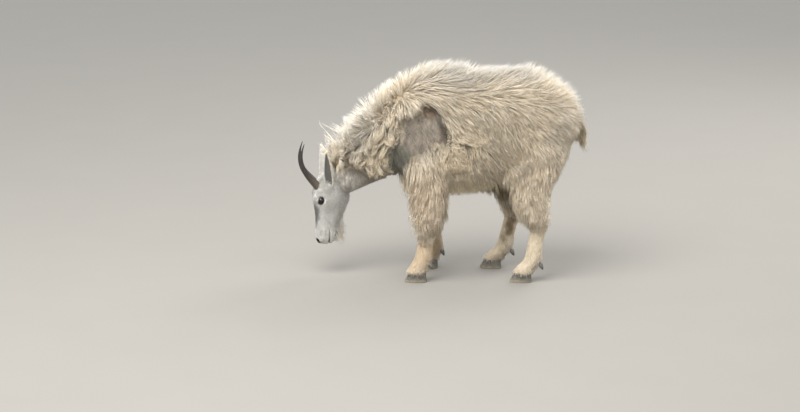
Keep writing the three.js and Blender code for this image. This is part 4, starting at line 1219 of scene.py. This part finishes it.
class GOAT_OT_coat(bpy.types.Operator):
    """Grows the coat out of the hide, long wool and short hair, as closed tufts"""

    bl_idname = "goat.coat"
    bl_label = "Coat"

    def execute(self, context):
        settings = context.scene.goat
        mesh = bpy.data.objects["hide"].data
        places, outs = arrays_of(mesh)
        values, part, names = hair_fields(places, outs)
        sharp = [FIELDS.index(fact) for fact in SHARP]
        kept = values[:, sharp].copy()
        values = smoothed(mesh, values, 10)
        values[:, sharp] = kept
        values[:, FIELDS.index("density")] *= 1 - ease(0.25, 0.6, kept[:, SHARP.index("dark")])
        rng = np.random.default_rng(settings.coat_seed)
        corners, share, flat = sample_roots(mesh, places, values, rng, settings.coat_density)
        drawn = (values[corners] * share).sum(1)
        hair = {name: drawn[:, i] for i, name in enumerate(FIELDS)}
        hair["root"] = (places[corners] * share).sum(1)
        hair["out"] = unit((outs[corners] * share).sum(1))
        hair["flow"] = unit(drawn[:, [FIELDS.index(axis) for axis in "xyz"]])
        hair["map"], hair["part"] = flat, part[corners[:, 0]]
        ends = read(mesh.loop_triangles, "vertices", 3, int)
        tree = BVHTree.FromPolygons(places.tolist(), ends.tolist())
        ground = (tree, ends[:, 0], values[:, FIELDS.index("bare")])
        grows = (hair["root"][:, 2] >= HOOF["tall"]) & (hair["length"] >= 1)
        wool = hair["depth"] > WOOL_FROM
        fleece = wool & (hair["matted"] > FLEECE_FROM)
        for kind, chosen in (("fleece", fleece), ("wool", wool & ~fleece), ("hair", ~wool)):
            own = {name: value[chosen & grows] for name, value in hair.items()}
            self.grow(kind, own, names, ground, rng, settings.coat_length)
        return {"FINISHED"}

    def grow(self, kind, hair, names, ground, rng, longer):
        """Makes the pieces of one kind of hair, each from one sort of body part."""
        steps, roots = KINDS[kind], hair["root"]
        if kind == "hair":
            paths, hair["shade"] = lay_short(hair, rng)
            clear = np.ones(len(roots), bool)
        else:
            hair["length"] = hair["length"] * longer
            paths, hair["shade"], crossing = lay_long(ground, hair, rng, steps)
            clear = ~crossing | (hair["part"] == names.index("head"))
        paths[..., 2] = np.maximum(paths[..., 2], 3)
        hair["path"] = paths
        hair["width"] = hair["width"] * rng.uniform(0.6, 1.25, len(roots))
        material = tuft_finish(kind, *TUFT_SHADES[kind])
        most = PIECE_TRIANGLES // (6 * steps - 2)
        groups = {}
        for i, name in enumerate(names):
            groups.setdefault(name.split("_")[0], []).append(i)
        for group, members in groups.items():
            own = np.flatnonzero(np.isin(hair["part"], members) & clear)
            if len(own) < 8:
                continue
            own = own[np.argsort(roots[own, 0] + roots[own, 1] * 0.2)]
            for k, few in enumerate(np.array_split(own, math.ceil(len(own) / most)), 1):
                piece = tuft_mesh(f"{kind}_{group}_{k}", {name: value[few] for name, value in hair.items()})
                dress(piece, material)


class GOAT_OT_eyes(bpy.types.Operator):
    """Makes both eyes, each a ball with a swell over the pupil"""

    bl_idname = "goat.eyes"
    bl_label = "Eyes"

    def execute(self, context):
        for side, name in ((-1, "left"), (1, "right")):
            middle = Vector(to_frame(head_point(EYE["along"], EYE["height"], side * EYE["aside"])))
            gaze = Vector(head_heading(0.1, 0.25, side)).normalized()
            bm = bmesh.new()
            bmesh.ops.create_uvsphere(bm, u_segments=40, v_segments=28, radius=EYE["radius"] * MM)
            turn = gaze.to_track_quat("Z", "Y").to_matrix().to_4x4()
            bmesh.ops.transform(bm, matrix=Matrix.Translation(middle) @ turn, verts=bm.verts)
            for vert in bm.verts:
                facing = max(0.0, (vert.co - middle).normalized().dot(gaze) - 0.8) / 0.2
                vert.co += (vert.co - middle).normalized() * 0.0009 * facing
            piece = keep_mesh(bm, "eyeball_" + name)
            dress(piece, eye_finish("eye_" + name, middle, gaze), ["eye_" + name])
        return {"FINISHED"}


class GOAT_OT_horns(bpy.types.Operator):
    """Makes both horns, ringed towards the base"""

    bl_idname = "goat.horns"
    bl_label = "Horns"

    def execute(self, context):
        material = horn_finish()
        for side, name in ((-1, "left"), (1, "right")):
            bm = bmesh.new()
            loft(bm, horn_surface(side), 150, 28)
            bmesh.ops.recalc_face_normals(bm, faces=bm.faces)
            piece = keep_mesh(bm, "horn_sheath_" + name)
            along = head_frame(arrays_of(piece.data)[0])[0]
            store(piece.data, "ring", (HORN["along"] - along) / HORN["length"])
            dress(piece, material, ["horn_" + name])
        return {"FINISHED"}


class GOAT_OT_hooves(bpy.types.Operator):
    """Makes the cloven hooves and the dewclaws"""

    bl_idname = "goat.hooves"
    bl_label = "Hooves"

    def execute(self, context):
        material = hoof_finish()
        kinds = (("claw", claw_surface, 26, 40), ("dewclaw", dewclaw_surface, 14, 20))
        for kind, surface, rings, sides in kinds:
            bm = bmesh.new()
            nodes = []
            for leg in LEGS:
                for half, name in ((-LEGS[leg][0], "inner"), (LEGS[leg][0], "outer")):
                    loft(bm, surface(leg, half), rings, sides)
                    nodes.append(f"{leg}_{kind}_{name}")
            bmesh.ops.triangulate(bm, faces=[f for f in bm.faces if len(f.verts) > 4])
            bmesh.ops.recalc_face_normals(bm, faces=bm.faces)
            dress(keep_mesh(bm, kind + "s"), material, nodes)
        return {"FINISHED"}


class GOAT_OT_stage(bpy.types.Operator):
    """Sets the floor, the soft lights and the camera at the photograph's angle"""

    bl_idname = "goat.stage"
    bl_label = "Stage"

    def execute(self, context):
        settings = context.scene.goat
        bm = bmesh.new()
        bmesh.ops.create_circle(bm, cap_ends=True, segments=96, radius=22)
        floor = keep_mesh(bm, "floor")
        finish = Finish("floor")
        grain = finish.noise(finish.place(), 3.0, 3.0, 0.5)
        colour = finish.scaled(tuple(settings.floor_colour), 0.97 + grain * 0.06)
        floor.data.materials.append(finish.surface({"Base Color": colour, "Roughness": 0.9 + grain * 0.05}))
        world = bpy.data.worlds.new("sky")
        context.scene.world = world
        world.use_nodes = True
        background = world.node_tree.nodes["Background"]
        background.inputs["Color"].default_value = (0.96, 0.98, 1.0, 1.0)
        background.inputs["Strength"].default_value = settings.sky_light
        for name, place, size, share in LAMPS:
            lamp = bpy.data.lights.new(name, "AREA")
            lamp.shape = "DISK"
            lamp.size = size
            lamp.energy = settings.key_power * share
            lamp.color = (1.0, 0.985, 0.96)
            aim(link(name, lamp), place, Vector((0, 0, 0.5)))
        distance, rise = settings.camera_distance, math.radians(CAMERA_RISE)
        target = Vector(to_frame(CAMERA_AIM))
        lens = bpy.data.cameras.new("camera")
        lens.lens = lens.sensor_width * distance / CAMERA_WIDTH
        camera = link("camera", lens)
        aim(camera, target + Vector((0, -math.cos(rise), math.sin(rise))) * distance, target)
        context.scene.camera = camera
        context.scene.view_settings.view_transform = "Standard"
        return {"FINISHED"}


OPERATORS = (GOAT_OT_hide, GOAT_OT_coat, GOAT_OT_eyes, GOAT_OT_horns, GOAT_OT_hooves, GOAT_OT_stage)


class GOAT_PT_panel(bpy.types.Panel):
    """Lists the goat's settings and the steps that make it"""

    bl_label = "Mountain Goat"
    bl_idname = "GOAT_PT_panel"
    bl_space_type = "VIEW_3D"
    bl_region_type = "UI"
    bl_category = "Goat"

    def draw(self, context):
        for name in GoatSettings.__annotations__:
            self.layout.prop(context.scene.goat, name)
        for operator in OPERATORS:
            self.layout.operator(operator.bl_idname)


CLASSES = (GoatSettings, *OPERATORS, GOAT_PT_panel)


def register():
    for kind in CLASSES:
        bpy.utils.register_class(kind)
    bpy.types.Scene.goat = bpy.props.PointerProperty(type=GoatSettings)


def unregister():
    del bpy.types.Scene.goat
    for kind in reversed(CLASSES):
        bpy.utils.unregister_class(kind)


def main():
    register()
    bpy.ops.goat.hide()
    bpy.ops.goat.coat()
    bpy.ops.goat.eyes()
    bpy.ops.goat.horns()
    bpy.ops.goat.hooves()
    bpy.ops.goat.stage()


if __name__ == "__main__":
    main()
